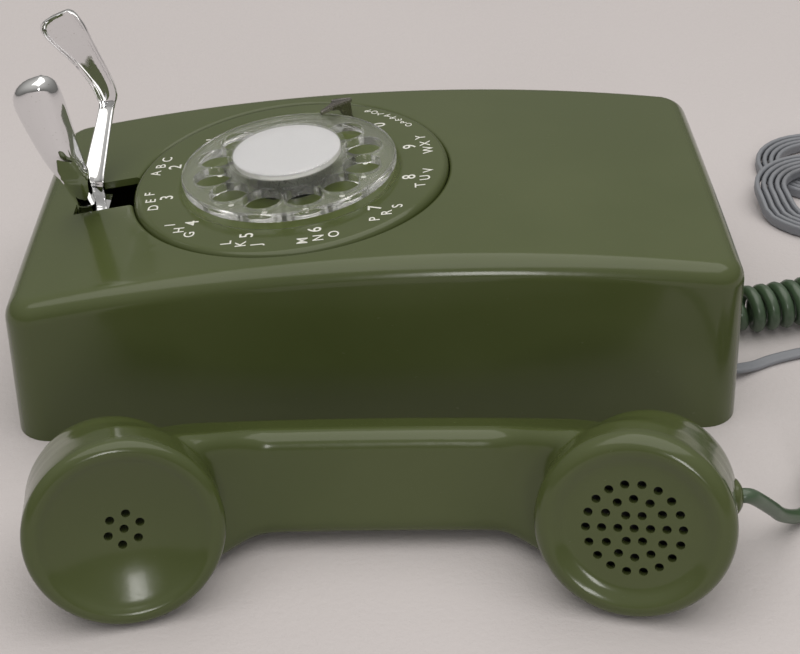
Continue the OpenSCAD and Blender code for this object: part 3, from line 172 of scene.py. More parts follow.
lamp("ceiling_lamp", (0.1, -0.1, 1.6), (0.0, -0.02, 0.0), 2.4, 2.0, 21, (1.0, 0.97, 0.92))
lamp("window_lamp", (0.13, -1.5, 0.5), (0.0, -0.05, 0.05), 0.2, 0.4, 2.8, (1.0, 0.98, 0.96))
world = bpy.data.worlds.new("room")
bpy.context.scene.world = world
world.use_nodes = True
backdrop = world.node_tree.nodes["Background"]
sky = Shade(world.node_tree)
rise = sky.node("ShaderNodeSeparateXYZ", {0: sky.node("ShaderNodeTexCoord", out="Generated")}, out="Z")
room_light = rise.step(-0.2, 0.9).mix(rgb(0.11, 0.107, 0.10), rgb(0.60, 0.59, 0.565))
world.node_tree.links.new(room_light.socket, backdrop.inputs[0])

# Curly handset cord
# Four tinsel wires in a dark green vinyl jacket, wound warm on a rod so that it springs back.
# It leaves the end of the housing, swings round in a loop on the table and goes into the handset.
HALF_L, DRAFT = 123.0, math.tan(math.radians(2))
CURLY_Y, CURLY_Z, CURLY_OUT = -12.5, 9.4, 1.2
HANDSET = (Matrix.Translation((1, -155.3, 30)) @ Matrix.Rotation(math.radians(-0.9), 4, "Z")
           @ Matrix.Rotation(math.radians(76), 4, "X"))
BUSH_X, BUSH_Y, BUSH_Z, BUSH_OUT = 103.6, 1.0, -20.0, 4.4
CURL_D, CURL_R, CURLS, CURL_START, CURL_END, CURL_RAMP = 4.6, 6.6, 35, 7.0, 252.0, 7.0
CLOSE_END, CLOSE_CURLS, CURL_STEPS, TAIL_L, TAIL_STEPS, TABLE_GAP = 40.0, 6, 22, 11, 12, 0.2


def through(points, steps):
    """A smooth line through given points, in steps from one to the next."""
    knots = [Vector(p) for p in (points[0], *points, points[-1])]
    line = []
    for a, b, c, d in zip(knots, knots[1:], knots[2:], knots[3:]):
        for k in range(steps):
            t = k / steps
            line.append(0.5 * (2 * b + (c - a) * t + (2 * a - 5 * b + 4 * c - d) * t * t
                               + (3 * b - a - 3 * c + d) * t ** 3))
    return line + [knots[-1]]


def runs_of(line):
    """How far along a line each of its points lies."""
    runs = [0.0]
    for a, b in zip(line, line[1:]):
        runs.append(runs[-1] + (b - a).length)
    return runs


def at_run(line, runs, s):
    """The point that lies a length s along a line."""
    i = 0
    while i < len(line) - 2 and runs[i + 1] < s:
        i += 1
    return line[i] + (line[i + 1] - line[i]) * ((s - runs[i]) / (runs[i + 1] - runs[i]))


def smooth(a):
    """A soft rise from 0 to 1 while a goes from 0 to 1."""
    a = max(0.0, min(1.0, a))
    return a * a * (3 - 2 * a)


def loft(name, rings, close_ends=True):
    """A skin over rings of points in millimetres, closed at both ends unless told otherwise."""
    n = len(rings[0])
    faces = [(r * n + k, r * n + (k + 1) % n, (r + 1) * n + (k + 1) % n, (r + 1) * n + k)
             for r in range(len(rings) - 1) for k in range(n)]
    if close_ends:
        faces += [tuple(range(n)), tuple(range((len(rings) - 1) * n, len(rings) * n))]
    mesh = bpy.data.meshes.new(name)
    mesh.from_pydata([Vector(p) * MM for ring in rings for p in ring], [], faces)
    made = bpy.data.objects.new(name, mesh)
    bpy.context.scene.collection.objects.link(made)
    outward(made)
    return made


def only(obj):
    """Makes one object the selected and active one."""
    bpy.ops.object.select_all(action="DESELECT")
    obj.select_set(True)
    bpy.context.view_layer.objects.active = obj


def outward(obj, merge=True):
    """Turns all faces outwards, after doubles are merged."""
    only(obj)
    bpy.ops.object.mode_set(mode="EDIT")
    bpy.ops.mesh.select_all(action="SELECT")
    if merge:
        bpy.ops.mesh.remove_doubles(threshold=1e-6)
    bpy.ops.mesh.normals_make_consistent(inside=False)
    bpy.ops.object.mode_set(mode="OBJECT")


def rounded(obj, degrees=35):
    """Smooth shading, with edges sharper than an angle kept crisp."""
    only(obj)
    bpy.ops.object.shade_smooth_by_angle(angle=math.radians(degrees))


def dress(obj, material, body, slot, *nodes):
    """Gives a piece its material and its body, and hides the nodes that it stands for. The slot is not used.
    """
    obj.data.materials.clear()
    obj.data.materials.append(material)
    if body:
        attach(obj, body)
    if nodes:
        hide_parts(*nodes)


def cord_rings(line, outline, side, turn=lambda share: 0.0):
    """Rings square to a line, carried along it without rolling, and turned by an angle where asked."""
    rings = []
    for i, point in enumerate(line):
        t = (line[min(i + 1, len(line) - 1)] - line[max(i - 1, 0)]).normalized()
        side = (side - side.dot(t) * t).normalized()
        a = turn(i / (len(line) - 1))
        s = math.cos(a) * side + math.sin(a) * t.cross(side)
        u = t.cross(s)
        rings.append([point + q[0] * s + q[1] * u for q in outline])
    return rings


curl_mid = through([
    (121.6, -12.5, 9.4), (133.7, -11.9, 9.6), (147.8, -9.4, 9.8), (164.9, -6, 10.8), (182, -2.7, 12.4),
    (199, -4.3, 11.8), (213.6, -13.8, 10), (222, -30.2, 9.4), (223.4, -48.2, 9.4), (214.8, -64.9, 9.4),
    (199.4, -75.4, 9.4), (182.3, -77.7, 9.4), (166.1, -82.1, 9.4), (153.7, -91.7, 9.4), (147.3, -103.5, 9),
    (141, -112.2, 5.5), (132.7, -118.9, 3), (124.5, -125.6, 8.5), (118.3, -131.4, 17),
    (114.6, -135.3, 22.6)], 6)
curl_runs = runs_of(curl_mid)


def curl_turn(s):
    """Turns wound up to here: close ones at the housing, then an even pitch."""
    if s < CLOSE_END:
        return CLOSE_CURLS * (s - CURL_START) / (CLOSE_END - CURL_START)
    return CLOSE_CURLS + (CURLS - CLOSE_CURLS) * (s - CLOSE_END) / (CURL_END - CLOSE_END)


def curl_point(s):
    """A point of the wound cord, lifted where its curls would press into the table."""
    middle = at_run(curl_mid, curl_runs, s)
    t = (at_run(curl_mid, curl_runs, min(s + 1, curl_runs[-1]))
         - at_run(curl_mid, curl_runs, max(s - 1, 0))).normalized()
    n = Vector((0, 0, 1)).cross(t).normalized()
    lift = CURL_R * smooth((s - CURL_START) / CURL_RAMP) * smooth((CURL_END - s) / CURL_RAMP)
    a = 2 * math.pi * curl_turn(s) - math.pi / 2
    return (middle + lift * (math.cos(a) * n + math.sin(a) * t.cross(n))
            + Vector((0, 0, max(0.0, lift + CURL_D / 2 + TABLE_GAP - middle.z))))


curl_step = (CURL_END - CURL_START) / (CURLS * CURL_STEPS)
curl_from = Vector((HALF_L - CURLY_Z * DRAFT + CURLY_OUT, CURLY_Y, CURLY_Z))
curl_to = HANDSET @ Vector((BUSH_X + BUSH_OUT, BUSH_Y, BUSH_Z))
bush_way = (HANDSET.to_3x3() @ Vector((1, 0, 0))).normalized()
curl_line = [curl_from, curl_from + Vector((CURL_D, 0, 0))]
s = CURL_START + 4 * curl_step
while s < curl_runs[-1] - TAIL_L:
    curl_line.append(curl_point(s))
    s += curl_step
tail = [curl_line[-12], curl_line[-1], curl_to + 0.25 * CURL_D * bush_way, curl_to - 3.6 * bush_way]
curl_line += through(tail, TAIL_STEPS)[TAIL_STEPS + 1:]
turns = [2 * math.pi * k / 14 for k in range(14)]
round_section = [(CURL_D / 2 * math.cos(a), CURL_D / 2 * math.sin(a)) for a in turns]
curly = loft("curly_cord", cord_rings(curl_line, round_section, Vector((0, 1, 0))))
rounded(curly, 60)
vinyl, shader, shade = finish("dark_green_vinyl", Coat_Weight=0.4, Coat_Roughness=0.15)
grime = shade.noise(60, 4).step(0.45, 0.75)
feed(shader, Base_Color=grime.mix(rgb(0.047, 0.082, 0.043), rgb(0.058, 0.096, 0.052)),
     Roughness=0.28 + 0.22 * shade.noise(140, 4), Normal=shade.noise(1600, 2).bump(0.08, 0.0002))
dress(curly, vinyl, None, "dark_green_vinyl", "handset_cord")
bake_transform(curly)
[p * MM for p in curl_line]

# Flat line cord with its tie and plug
# A flat grey vinyl cord with a groove between its wires. It leaves the end of the housing, runs under
# the curly cord and is folded into a hank, held by a black band, with a clear plug on its end.
LINE_W, LINE_T, LINE_Y, LINE_Z, LINE_OUT = 4.4, 2.2, -40.5, 3.6, 1.4
SQUARENESS, GROOVE, GROOVE_W = 0.7, 0.3, 0.45
HANK_NEAR, HANK_FAR = (200.6, 80.7), (206.6, 111.7)
HANK_R, HANK_RUN, HANK_STEP, LOOPS, LOOP_STEPS = 30.0, 25.0, 2.75, 4, 24
HANK_Z, HANK_LIFT = LINE_W / 2 + 0.3, LINE_W + 0.9


def polar(r, degrees):
    """The point at a distance and an angle."""
    return r * math.cos(math.radians(degrees)), r * math.sin(math.radians(degrees))


def loop_place(k, r, turn):
    """A step round one loop of the hank: two straights, each followed by a half round."""
    h = HANK_RUN / 2
    if k < 3:
        return -turn * h + turn * HANK_RUN * k / 3, -r
    if k < 12:
        x, y = polar(r, -90 + turn * 20 * (k - 3))
        return turn * h + x, y
    if k < 15:
        return turn * h - turn * HANK_RUN * (k - 12) / 3, r
    x, y = polar(r, 90 + turn * 20 * (k - 15))
    return -turn * h + x, y


def near_point(i):
    """A step along the near coil, which winds inwards. Its far side lies on the far coil."""
    x, y = loop_place(i % LOOP_STEPS, HANK_R - HANK_STEP * i / LOOP_STEPS, -1)
    y += HANK_NEAR[1]
    return Vector((x + HANK_NEAR[0], y, HANK_Z + HANK_LIFT * smooth((y - HANK_NEAR[1] + 14) / 12)))


def far_point(i):
    """A step along the far coil, which winds outwards on the table."""
    r = HANK_R - HANK_STEP * (LOOPS + 0.5) + HANK_STEP * i / LOOP_STEPS
    x, y = loop_place((i + 3) % LOOP_STEPS, r, 1)
    return Vector((x + HANK_FAR[0], y + HANK_FAR[1], HANK_Z))


near_last, far_last = LOOP_STEPS * LOOPS + 12, LOOP_STEPS * LOOPS + 9
line_from = Vector((HALF_L - LINE_Z * DRAFT + LINE_OUT, LINE_Y, LINE_Z))
free_line = [line_from] + through([
    line_from + Vector((1.2, 0, 0)), (127.6, -40.5, 3.6), (134.8, -36, 1.6), (141.9, -32.2, 1.4),
    (152.1, -28.6, 1.4), (165.2, -25.1, 1.4), (178.5, -17.6, 1.4), (187.9, -5.9, 1.4), (194.4, 6.9, 1.4),
    (204.9, 19.5, 1.4), (219.1, 25, 1.4), (229.3, 32.6, 1.8), (230.7, 42.6, 2.2), (223, 49.4, 2.5),
    near_point(0)], 6)
link_a, link_b = near_point(near_last), far_point(0)
hank_line = [near_point(i / 2) for i in range(2 * near_last + 1)]
for k in range(1, 12):
    t = k / 12
    hank_line.append(Vector((link_a.x + (link_b.x - link_a.x) * t,
                             link_a.y + (link_b.y - link_a.y) * smooth(t),
                             link_a.z + (link_b.z - link_a.z) * smooth(t))))
hank_line += [far_point(i / 2) for i in range(2 * far_last + 1)]
flat_section = []
for k in range(20):
    a = 2 * math.pi * k / 20
    x = LINE_W / 2 * math.copysign(abs(math.cos(a)) ** SQUARENESS, math.cos(a))
    y = LINE_T / 2 * math.copysign(abs(math.sin(a)) ** SQUARENESS, math.sin(a))
    flat_section.append((x, y * (1 - GROOVE * math.exp(-(x / GROOVE_W) ** 2))))
free_rings = cord_rings(free_line, flat_section, Vector((0, 1, 0)),
                        lambda share: math.pi / 2 * smooth((share - 2 / 3) * 3))
hank_rings = []
for i, point in enumerate(hank_line):
    t = (hank_line[min(i + 1, len(hank_line) - 1)] - hank_line[max(i - 1, 0)]).normalized()
    s = Vector((0, 0, 1)).cross(t).normalized()
    u = t.cross(s)
    hank_rings.append([point + q[1] * s - q[0] * u for q in flat_section])
line_cord = loft("line_cord_run", free_rings[:-1] + hank_rings)
rounded(line_cord, 60)
grey_vinyl, shader, shade = finish("grey_vinyl", Coat_Weight=0.1, Coat_Roughness=0.3)
dirt = shade.noise(45, 5).step(0.5, 0.8)
feed(shader, Base_Color=dirt.mix(rgb(0.21, 0.22, 0.245), rgb(0.16, 0.165, 0.18)),
     Roughness=0.38 + 0.2 * shade.noise(200, 3), Normal=shade.noise(1500, 2).bump(0.06, 0.0002))
dress(line_cord, grey_vinyl, "phone", "grey_vinyl", "line_cord", "line_hank")


def block(name, low, high):
    """A box between two corners in millimetres, still to be shaped."""
    bpy.ops.object.select_all(action="DESELECT")
    low, high = Vector(low), Vector(high)
    bpy.ops.mesh.primitive_cube_add(size=1)
    made = bpy.context.object
    made.name = name
    made.data.transform(Matrix.Translation((low + high) / 2 * MM)
                        @ Matrix.Diagonal((high - low) * MM).to_4x4())
    return made


def modified(obj, kind, **settings):
    """Adds a modifier with these settings and applies it."""
    only(obj)
    added = obj.modifiers.new("step", kind)
    for key, value in settings.items():
        setattr(added, key, value)
    bpy.ops.object.modifier_apply(modifier=added.name)


def pick(obj, parts, test, mode="VERT"):
    """Goes into edit mode with those vertices, edges or polygons selected that pass a test."""
    only(obj)
    bpy.ops.object.mode_set(mode="EDIT")
    bpy.ops.mesh.select_mode(type=mode)
    bpy.ops.mesh.select_all(action="DESELECT")
    bpy.ops.object.mode_set(mode="OBJECT")
    for part in getattr(obj.data, parts):
        part.select = test(part)
    bpy.ops.object.mode_set(mode="EDIT")


BAND_HALF, BAND_T = 4.0, 0.9
tie_y = HANK_NEAR[1] - HANK_R - LINE_T / 2 - 0.3
band = block("hank_band", (HANK_NEAR[0] - BAND_HALF, tie_y - 1, 0.1),
             (HANK_NEAR[0] + BAND_HALF, tie_y + HANK_STEP * LOOPS + LINE_T + 1.6, HANK_Z + LINE_W / 2 + 1.5))
pick(band, "polygons", lambda face: abs(face.normal.x) > 0.9, "FACE")
bpy.ops.mesh.delete(type="FACE")
bpy.ops.mesh.select_mode(type="VERT")
bpy.ops.object.mode_set(mode="OBJECT")
modified(band, "BEVEL", width=1.4 * MM, segments=5, limit_method="ANGLE")
modified(band, "SOLIDIFY", thickness=BAND_T * MM, offset=-1)
rounded(band)
black_band, shader, shade = finish("black_rubber")
feed(shader, Base_Color=shade.noise(300, 3).mix(rgb(0.012, 0.012, 0.013), rgb(0.022, 0.022, 0.023)),
     Roughness=0.6 + 0.2 * shade.noise(400, 2), Normal=shade.noise(2500, 2).bump(0.2, 0.0002))
dress(band, black_band, "phone", "black_plastic", "hank_tie")

plug_low, plug_high = (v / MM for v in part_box("line_plug"))
plug = block("clear_plug", plug_low, plug_high)
pick(plug, "polygons", lambda face: face.normal.z > 0.9)
bpy.ops.mesh.inset(thickness=1.2 * MM)
bpy.ops.transform.translate(value=(-1.5 * MM, 0, -1.6 * MM))
bpy.ops.mesh.inset(thickness=0.6 * MM)
bpy.ops.mesh.extrude_region_move(TRANSFORM_OT_translate={"value": (0, 0, 1.5 * MM)})
bpy.ops.object.mode_set(mode="OBJECT")
modified(plug, "BEVEL", width=0.35 * MM, segments=3, limit_method="ANGLE")
rounded(plug)


def acrylic(name, solid):
    """Clear acrylic with fine scuffs. A share of the light, and most lamplight, passes it unbent."""
    made, shader, shade = finish(name, IOR=1.46, Transmission_Weight=0.98)
    scuffs = shade.noise(900, 2, 0.6, (1, 6, 1)).step(0.6, 0.8)
    lamplight = shade.node("ShaderNodeLightPath", out="Is Shadow Ray")
    feed(shader, Base_Color=shade.noise(30, 2).mix(rgb(1.0, 1.0, 1.0), rgb(0.97, 0.975, 0.965)),
         Roughness=0.01 + 0.06 * scuffs, Alpha=solid - 0.9 * solid * lamplight)
    return made


clear = acrylic("clear_acrylic", 0.88)
dress(plug, clear, "phone", "clear_acrylic", "line_plug")
[p * MM for p in free_line[:-1] + hank_line]

# Base plate and the works under the housing
# Zinc plated sheet steel carries the dial, the hook switch, the ringer and the network block.
# These pieces are pressed, turned or moulded parts, bright where they are plated and dull where not.


def metal(name, light, dark, rough, grain, stretch=(1, 1, 1)):
    """Plated or bare metal with fine drawn lines and faint stains."""
    made, shader, shade = finish(name, Metallic=1.0)
    lines = shade.noise(grain, 3, 0.6, stretch)
    stain = shade.noise(35, 4).step(0.4, 0.75)
    feed(shader, Base_Color=stain.mix(rgb(*light), rgb(*dark)), Roughness=rough + 0.16 * lines,
         Normal=lines.bump(0.05, 0.0001))
    return made


def moulding(name, light, dark, rough):
    """Dull moulded plastic with a fine skin."""
    made, shader, shade = finish(name)
    feed(shader, Base_Color=shade.noise(50, 3).mix(rgb(*light), rgb(*dark)),
         Roughness=rough + 0.15 * shade.noise(260, 3), Normal=shade.noise(1400, 2).bump(0.1, 0.0002))
    return made


zinc = metal("zinc_plate", (0.62, 0.61, 0.55), (0.50, 0.48, 0.40), 0.26, 500, (1, 8, 1))
steel = metal("bright_steel", (0.58, 0.58, 0.59), (0.46, 0.46, 0.46), 0.2, 700, (1, 6, 1))
brass = metal("spun_brass", (0.70, 0.50, 0.18), (0.55, 0.37, 0.13), 0.2, 600, (8, 1, 1))
copper = metal("enamelled_wire", (0.46, 0.17, 0.07), (0.36, 0.12, 0.05), 0.3, 900, (1, 12, 1))
phenolic = moulding("black_phenolic", (0.014, 0.014, 0.015), (0.024, 0.023, 0.022), 0.35)
card_board = moulding("plain_card", (0.56, 0.56, 0.58), (0.53, 0.53, 0.55), 0.6)
# Painted light: the card cup and the wheel nut are coloured pale so that they read light under the clear
# acrylic, which keeps the lamplight off them.
painted_light_pale = moulding("painted_light_pale_finish", (0.86, 0.86, 0.85), (0.80, 0.80, 0.78), 0.3)
chrome, shader, shade = finish("chrome_plate", Metallic=1.0)
pits = shade.noise(1800, 2, 0.6).step(0.68, 0.76)
haze = shade.noise(70, 4).step(0.5, 0.8)
feed(shader, Base_Color=pits.mix(rgb(0.80, 0.80, 0.81), rgb(0.45, 0.42, 0.38)),
     Roughness=0.035 + 0.06 * haze + 0.2 * pits, Normal=shade.noise(90, 2).bump(0.03, 0.0006))
works = {
    zinc: ("base_plate", "dial_frame"),
    # The card cup and the nut take the pale colour that stands in for light under the cover.
    painted_light_pale: ("card_cup", "wheel_nut"),
    steel: ("housing_screw", "dial_bracket", "bracket_screws", "dial_screws", "mainspring", "governor_cup",
            "main_shaft", "governor_shaft", "hook_bracket", "hook_pin", "hook_spring", "ringer_frame",
            "ringer_core", "gong_screws"),
    chrome: ("hook_lever",),
    brass: ("terminal_screws", "dial_bushing", "gear_bridge", "pulse_springs", "main_gear", "idler_gear",
            "governor_weights", "switch_springs", "gong_low", "gong_high", "clapper"),
    copper: ("ringer_coil",),
    phenolic: ("network_block", "pulse_cam", "ringer_magnet", "loudness_wheel", "transmitter_cup",
               "receiver_unit", "transmitter_unit"),
    vinyl: ("cord_grommet",),
    grey_vinyl: ("line_grommet",),
}
for material, names in works.items():
    for name in names:
        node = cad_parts[name]
        if not node.material_slots:
            node.data.materials.append(material)
        for slot in node.material_slots:
            slot.link = "OBJECT"
            slot.material = material

# Housing
# One shell of green gloss plastic, moulded with drafted walls, an arched and crowned top and a round edge.
# It is cut for the dial, the hook, the cords, the fixing screw and the loudness wheel.
HALF_W, CORNER, WALL, EDGE_R, CORNER_STEPS = 69.5, 12.0, 2.6, 7.0, 10
ARCH_X, ARCH_Z, ARCH_R, CROWN = 27.0, 65.6, 720.0, 1.0
CURLY_HOLE_R, LINE_HOLE_R, SCREW_HOLE_R, SCREW_Y, SCREW_Z = 4.8, 3.7, 1.85, 25, 9
DIAL_X, DIAL_DOWN, DIAL_TILT = -29.0, 2.3, -5.0
HOOK_SLOT = (-105.4, -10.3, 30), (-83.4, 10.3, 95)
LOUDNESS_SLOT = (HALF_L - 10, 33, 7), (HALF_L + 20, 61, 14)


def arch_z(x):
    """Height of the arched top beside its crown."""
    return ARCH_Z - (x - ARCH_X) ** 2 / (2 * ARCH_R)


def top_z(x, y):
    """Height of the crowned top."""
    return arch_z(x) + CROWN - CROWN * (y / HALF_W) ** 2


plan = []
for turn, (sx, sy) in enumerate(((1, 1), (-1, 1), (-1, -1), (1, -1))):
    corner = Vector((sx * (HALF_L - CORNER), sy * (HALF_W - CORNER)))
    for k in range(CORNER_STEPS + 1):
        way = Vector(polar(1, 90 * turn + 90 * k / CORNER_STEPS))
        plan.append((corner + CORNER * way, way))
    steps, half = (44, HALF_L) if turn % 2 == 0 else (24, HALF_W)
    start, way = plan[-1][0], Vector(polar(1, 90 * turn + 90))
    along = Vector((-way.y, way.x))
    plan += [(start + along * (2 * (half - CORNER)) * k / steps, way) for k in range(1, steps)]


def skin(turn, share=1.0):
    """A ring of the outer skin at an angle round the top edge, drawn in towards the middle by a share."""
    ring = []
    for point, way in plan:
        run = DRAFT * (arch_z(point.x) - EDGE_R) + EDGE_R * (1 - math.cos(turn))
        p = share * (point - run * way)
        ring.append(Vector((p.x, p.y, top_z(p.x, p.y) - EDGE_R * (1 - math.sin(turn)))))
    return ring


foot = [Vector((p.x, p.y, 0)) for p, _ in plan]
brow = skin(0)
rings = [foot] + [[a.lerp(b, t) for a, b in zip(foot, brow)] for t in (0.04, 0.3, 0.6, 0.9)]
rings += [skin(math.radians(a)) for a in range(0, 91, 10)]
inner_rings = (0.97, 0.93, 0.88, 0.82, 0.75, 0.67, 0.58, 0.48, 0.37, 0.25, 0.12)
rings += [skin(math.pi / 2, share) for share in inner_rings]
shell = loft("green_housing", rings, close_ends=False)
pick(shell, "edges", lambda edge: all(shell.data.vertices[v].co.xy.length < 20 * MM for v in edge.vertices))
bpy.ops.mesh.edge_face_add()
bpy.ops.object.mode_set(mode="OBJECT")
outward(shell)
modified(shell, "SOLIDIFY", thickness=WALL * MM, offset=-1, use_even_offset=True)


def in_metres(place):
    """The same place, with its millimetres as metres."""
    moved = place.copy()
    moved.translation = place.translation * MM
    return moved


def rod(r, length, place, sides=96):
    """A round cutter along its own axis, in millimetres, set by a matrix."""
    bpy.ops.object.select_all(action="DESELECT")
    bpy.ops.mesh.primitive_cylinder_add(vertices=sides, radius=r * MM, depth=length * MM)
    made = bpy.context.object
    made.data.transform(in_metres(place))
    return made


def cut(obj, cutter):
    """Cuts a piece by a solid, which is then gone."""
    modified(obj, "BOOLEAN", operation="DIFFERENCE", solver="EXACT", object=cutter)
    bpy.data.objects.remove(cutter)


DIAL = (Matrix.Translation((DIAL_X, 0, top_z(DIAL_X, 0) - DIAL_DOWN))
        @ Matrix.Rotation(math.radians(DIAL_TILT), 4, "Y"))
END = Matrix.Rotation(math.pi / 2, 4, "Y")


def lip_point(degrees, r, rise):
    """A point beside the dial opening, at a height over the skin of the housing."""
    local = Vector((*polar(r, degrees), 0))
    for _ in range(4):
        spot = DIAL @ local
        local.z += top_z(spot.x, spot.y) + rise - spot.z
    return DIAL @ local


lip = [(56.2, -30), (56.2, -1.5), (56.26, -1.1), (56.45, -0.65), (56.8, -0.28), (57.3, -0.05), (57.9, 0.1),
       (57.9, 20)]
cut(shell, loft("dial_opening", [[lip_point(2 * k, r, rise) for k in range(180)] for r, rise in lip]))
cut(shell, block("hook_slot", *HOOK_SLOT))
cut(shell, rod(CURLY_HOLE_R, 30, Matrix.Translation((HALF_L, CURLY_Y, CURLY_Z)) @ END, 48))
cut(shell, rod(LINE_HOLE_R, 30, Matrix.Translation((HALF_L, LINE_Y, LINE_Z)) @ END, 48))
cut(shell, block("line_slot", (HALF_L - 15, LINE_Y - LINE_HOLE_R, -1),
                 (HALF_L + 15, LINE_Y + LINE_HOLE_R, LINE_Z)))
cut(shell, rod(SCREW_HOLE_R, 30, Matrix.Translation((HALF_L, SCREW_Y, SCREW_Z)) @ END, 32))
cut(shell, block("loudness_slot", *LOUDNESS_SLOT))
rounded(shell, 30)
green, shader, shade = finish("green_plastic", IOR=1.42, Coat_Weight=0.12, Coat_Roughness=0.06)
cloud = shade.noise(14, 4)
handled = shade.noise(55, 5, 0.65).step(0.5, 0.78)
hairline = shade.noise(240, 3, 0.7, (1, 9, 2)).step(0.66, 0.74)
feed(shader, Base_Color=cloud.step(0.3, 0.7).mix(rgb(0.064, 0.081, 0.025), rgb(0.074, 0.091, 0.031)),
     Roughness=0.17 + 0.1 * handled + 0.12 * hairline,
     Normal=(shade.noise(420, 2) + 0.25 * hairline).bump(0.035, 0.0004))
dress(shell, green, "phone", "green_plastic", "housing")

# Number plate with its figures
# A round green moulding with a rounded rim and a sunk floor under the wheel, held by screws from behind.
# The figures and letters are printed white, upright as on the wall, with a white spot under each finger hole.
PLATE_R, PLATE_Z, PLATE_T, RIM_R, RIM_SQUASH, FLOOR_Z = 56.0, 2.0, 1.2, 2.6, 1.2, -0.8
SLIT_AT, SLIT_TURN = (20.2, 39.0), 32.3
FIRST_HOLE, HOLE_PACE, HOLE_RING = 133.5, 30, 27.2
TYPE_SIZE, BOLD, INK, SPOT_R = 1.4, 0.012, 0.06, 1.0
FIGURE_R, FIGURE_H = 44.0, 4.7
LETTER_R, LETTER_H, LETTER_PACE = 49.7, 3.7, 6.13
WORD_R, WORD_H, WORD_PACE, WORD_SHIFT = 51.0, 2.5, 3.43, 1.7
POLE_R = 0.01


def turned(name, profile, place, sides=128, closed=False):
    """A turned piece: a ring drawn on from point to point of its profile of radius and height."""
    bpy.ops.object.select_all(action="DESELECT")
    (r, z), rest = profile[0], profile[1:]
    bpy.ops.mesh.primitive_circle_add(vertices=sides, radius=max(r, POLE_R) * MM, location=(0, 0, z * MM))
    made = bpy.context.object
    made.name = name
    bpy.ops.object.transform_apply(location=True)
    bpy.ops.object.mode_set(mode="EDIT")
    bpy.ops.mesh.select_all(action="SELECT")
    for next_r, next_z in rest + ([profile[0]] if closed else []):
        bpy.ops.mesh.extrude_edges_move(TRANSFORM_OT_translate={"value": (0, 0, (next_z - z) * MM)})
        scale = max(next_r, POLE_R) / max(r, POLE_R)
        bpy.ops.transform.resize(value=(scale, scale, 1), center_override=(0, 0, next_z * MM))
        r, z = next_r, next_z
    bpy.ops.mesh.select_all(action="SELECT")
    bpy.ops.mesh.remove_doubles(threshold=2e-6)
    bpy.ops.object.mode_set(mode="OBJECT")
    for end_r, end_z in (profile[0], profile[-1]):
        if not closed and end_r < 2 * POLE_R:
            close_pole(made, end_z)
    outward(made, merge=False)
    made.data.transform(in_metres(place))
    return made


def close_pole(obj, z):
    """Merges the smallest ring of a turned piece at a height into one point."""
    pick(obj, "vertices", lambda v: v.co.xy.length < 3 * POLE_R * MM and abs(v.co.z - z * MM) < 1e-5)
    bpy.ops.mesh.merge(type="CENTER")
    bpy.ops.object.mode_set(mode="OBJECT")


def arc(cr, cz, radius, first, last, steps, squash=1.0):
    """A round stretch of a profile between two angles, flattened or drawn out in height where asked."""
    turns = [math.radians(first + (last - first) * k / steps) for k in range(steps + 1)]
    return [(cr + radius * math.cos(a), cz + squash * radius * math.sin(a)) for a in turns]


floor_edge = [(35.6, 0.0), (36.6, 0.2), (37.6, 0.8), (38.8, 2.1), (39.6, 2.65), (40.6, 2.8)]
rim_r, rim_z = PLATE_R - RIM_R, PLATE_Z - RIM_SQUASH * RIM_R
plate_profile = ([(15, FLOOR_Z - PLATE_T), (15, FLOOR_Z), (26, FLOOR_Z)]
                 + [(r, FLOOR_Z + z) for r, z in floor_edge] + [(46, PLATE_Z)]
                 + arc(rim_r, rim_z, RIM_R, 90, 0, 10, RIM_SQUASH)
                 + [(PLATE_R, -4), (PLATE_R - PLATE_T, -4)]
                 + arc(rim_r, rim_z, RIM_R - PLATE_T, 0, 90, 6, RIM_SQUASH)
                 + [(r - 0.5, FLOOR_Z + z - PLATE_T) for r, z in floor_edge[::-1]])
plate = turned("dial_plate", plate_profile, DIAL, 160, closed=True)
slit = block("stop_slit", (-1.9, -0.9, -4), (1.9, 0.9, 4))
slit.data.transform(in_metres(DIAL @ Matrix.Translation((*SLIT_AT, PLATE_Z))
                              @ Matrix.Rotation(math.radians(SLIT_TURN), 4, "Z")))
cut(plate, slit)
rounded(plate)
dress(plate, green, "phone", "green_plastic", "number_plate")


def printed(sign, height, x, y):
    """A printed sign on the plate, upright as on the wall, lying on the skin of the plate."""
    bpy.ops.object.select_all(action="DESELECT")
    bpy.ops.object.text_add()
    made = bpy.context.object
    made.data.body, made.data.size = sign, height * TYPE_SIZE * MM
    made.data.align_x, made.data.align_y = "CENTER", "CENTER"
    made.data.offset = BOLD * height * MM
    made.data.resolution_u = 4
    bpy.ops.object.convert(target="MESH")
    made = bpy.context.object
    for v in made.data.vertices:
        v.co.x, v.co.y = x * MM - v.co.y, y * MM + v.co.x
        v.co.z = (PLATE_Z + INK) * MM
    return made


def joined(pieces):
    """Makes one object of several."""
    bpy.ops.object.select_all(action="DESELECT")
    for piece in pieces:
        piece.select_set(True)
    bpy.context.view_layer.objects.active = pieces[0]
    bpy.ops.object.join()
    return bpy.context.object


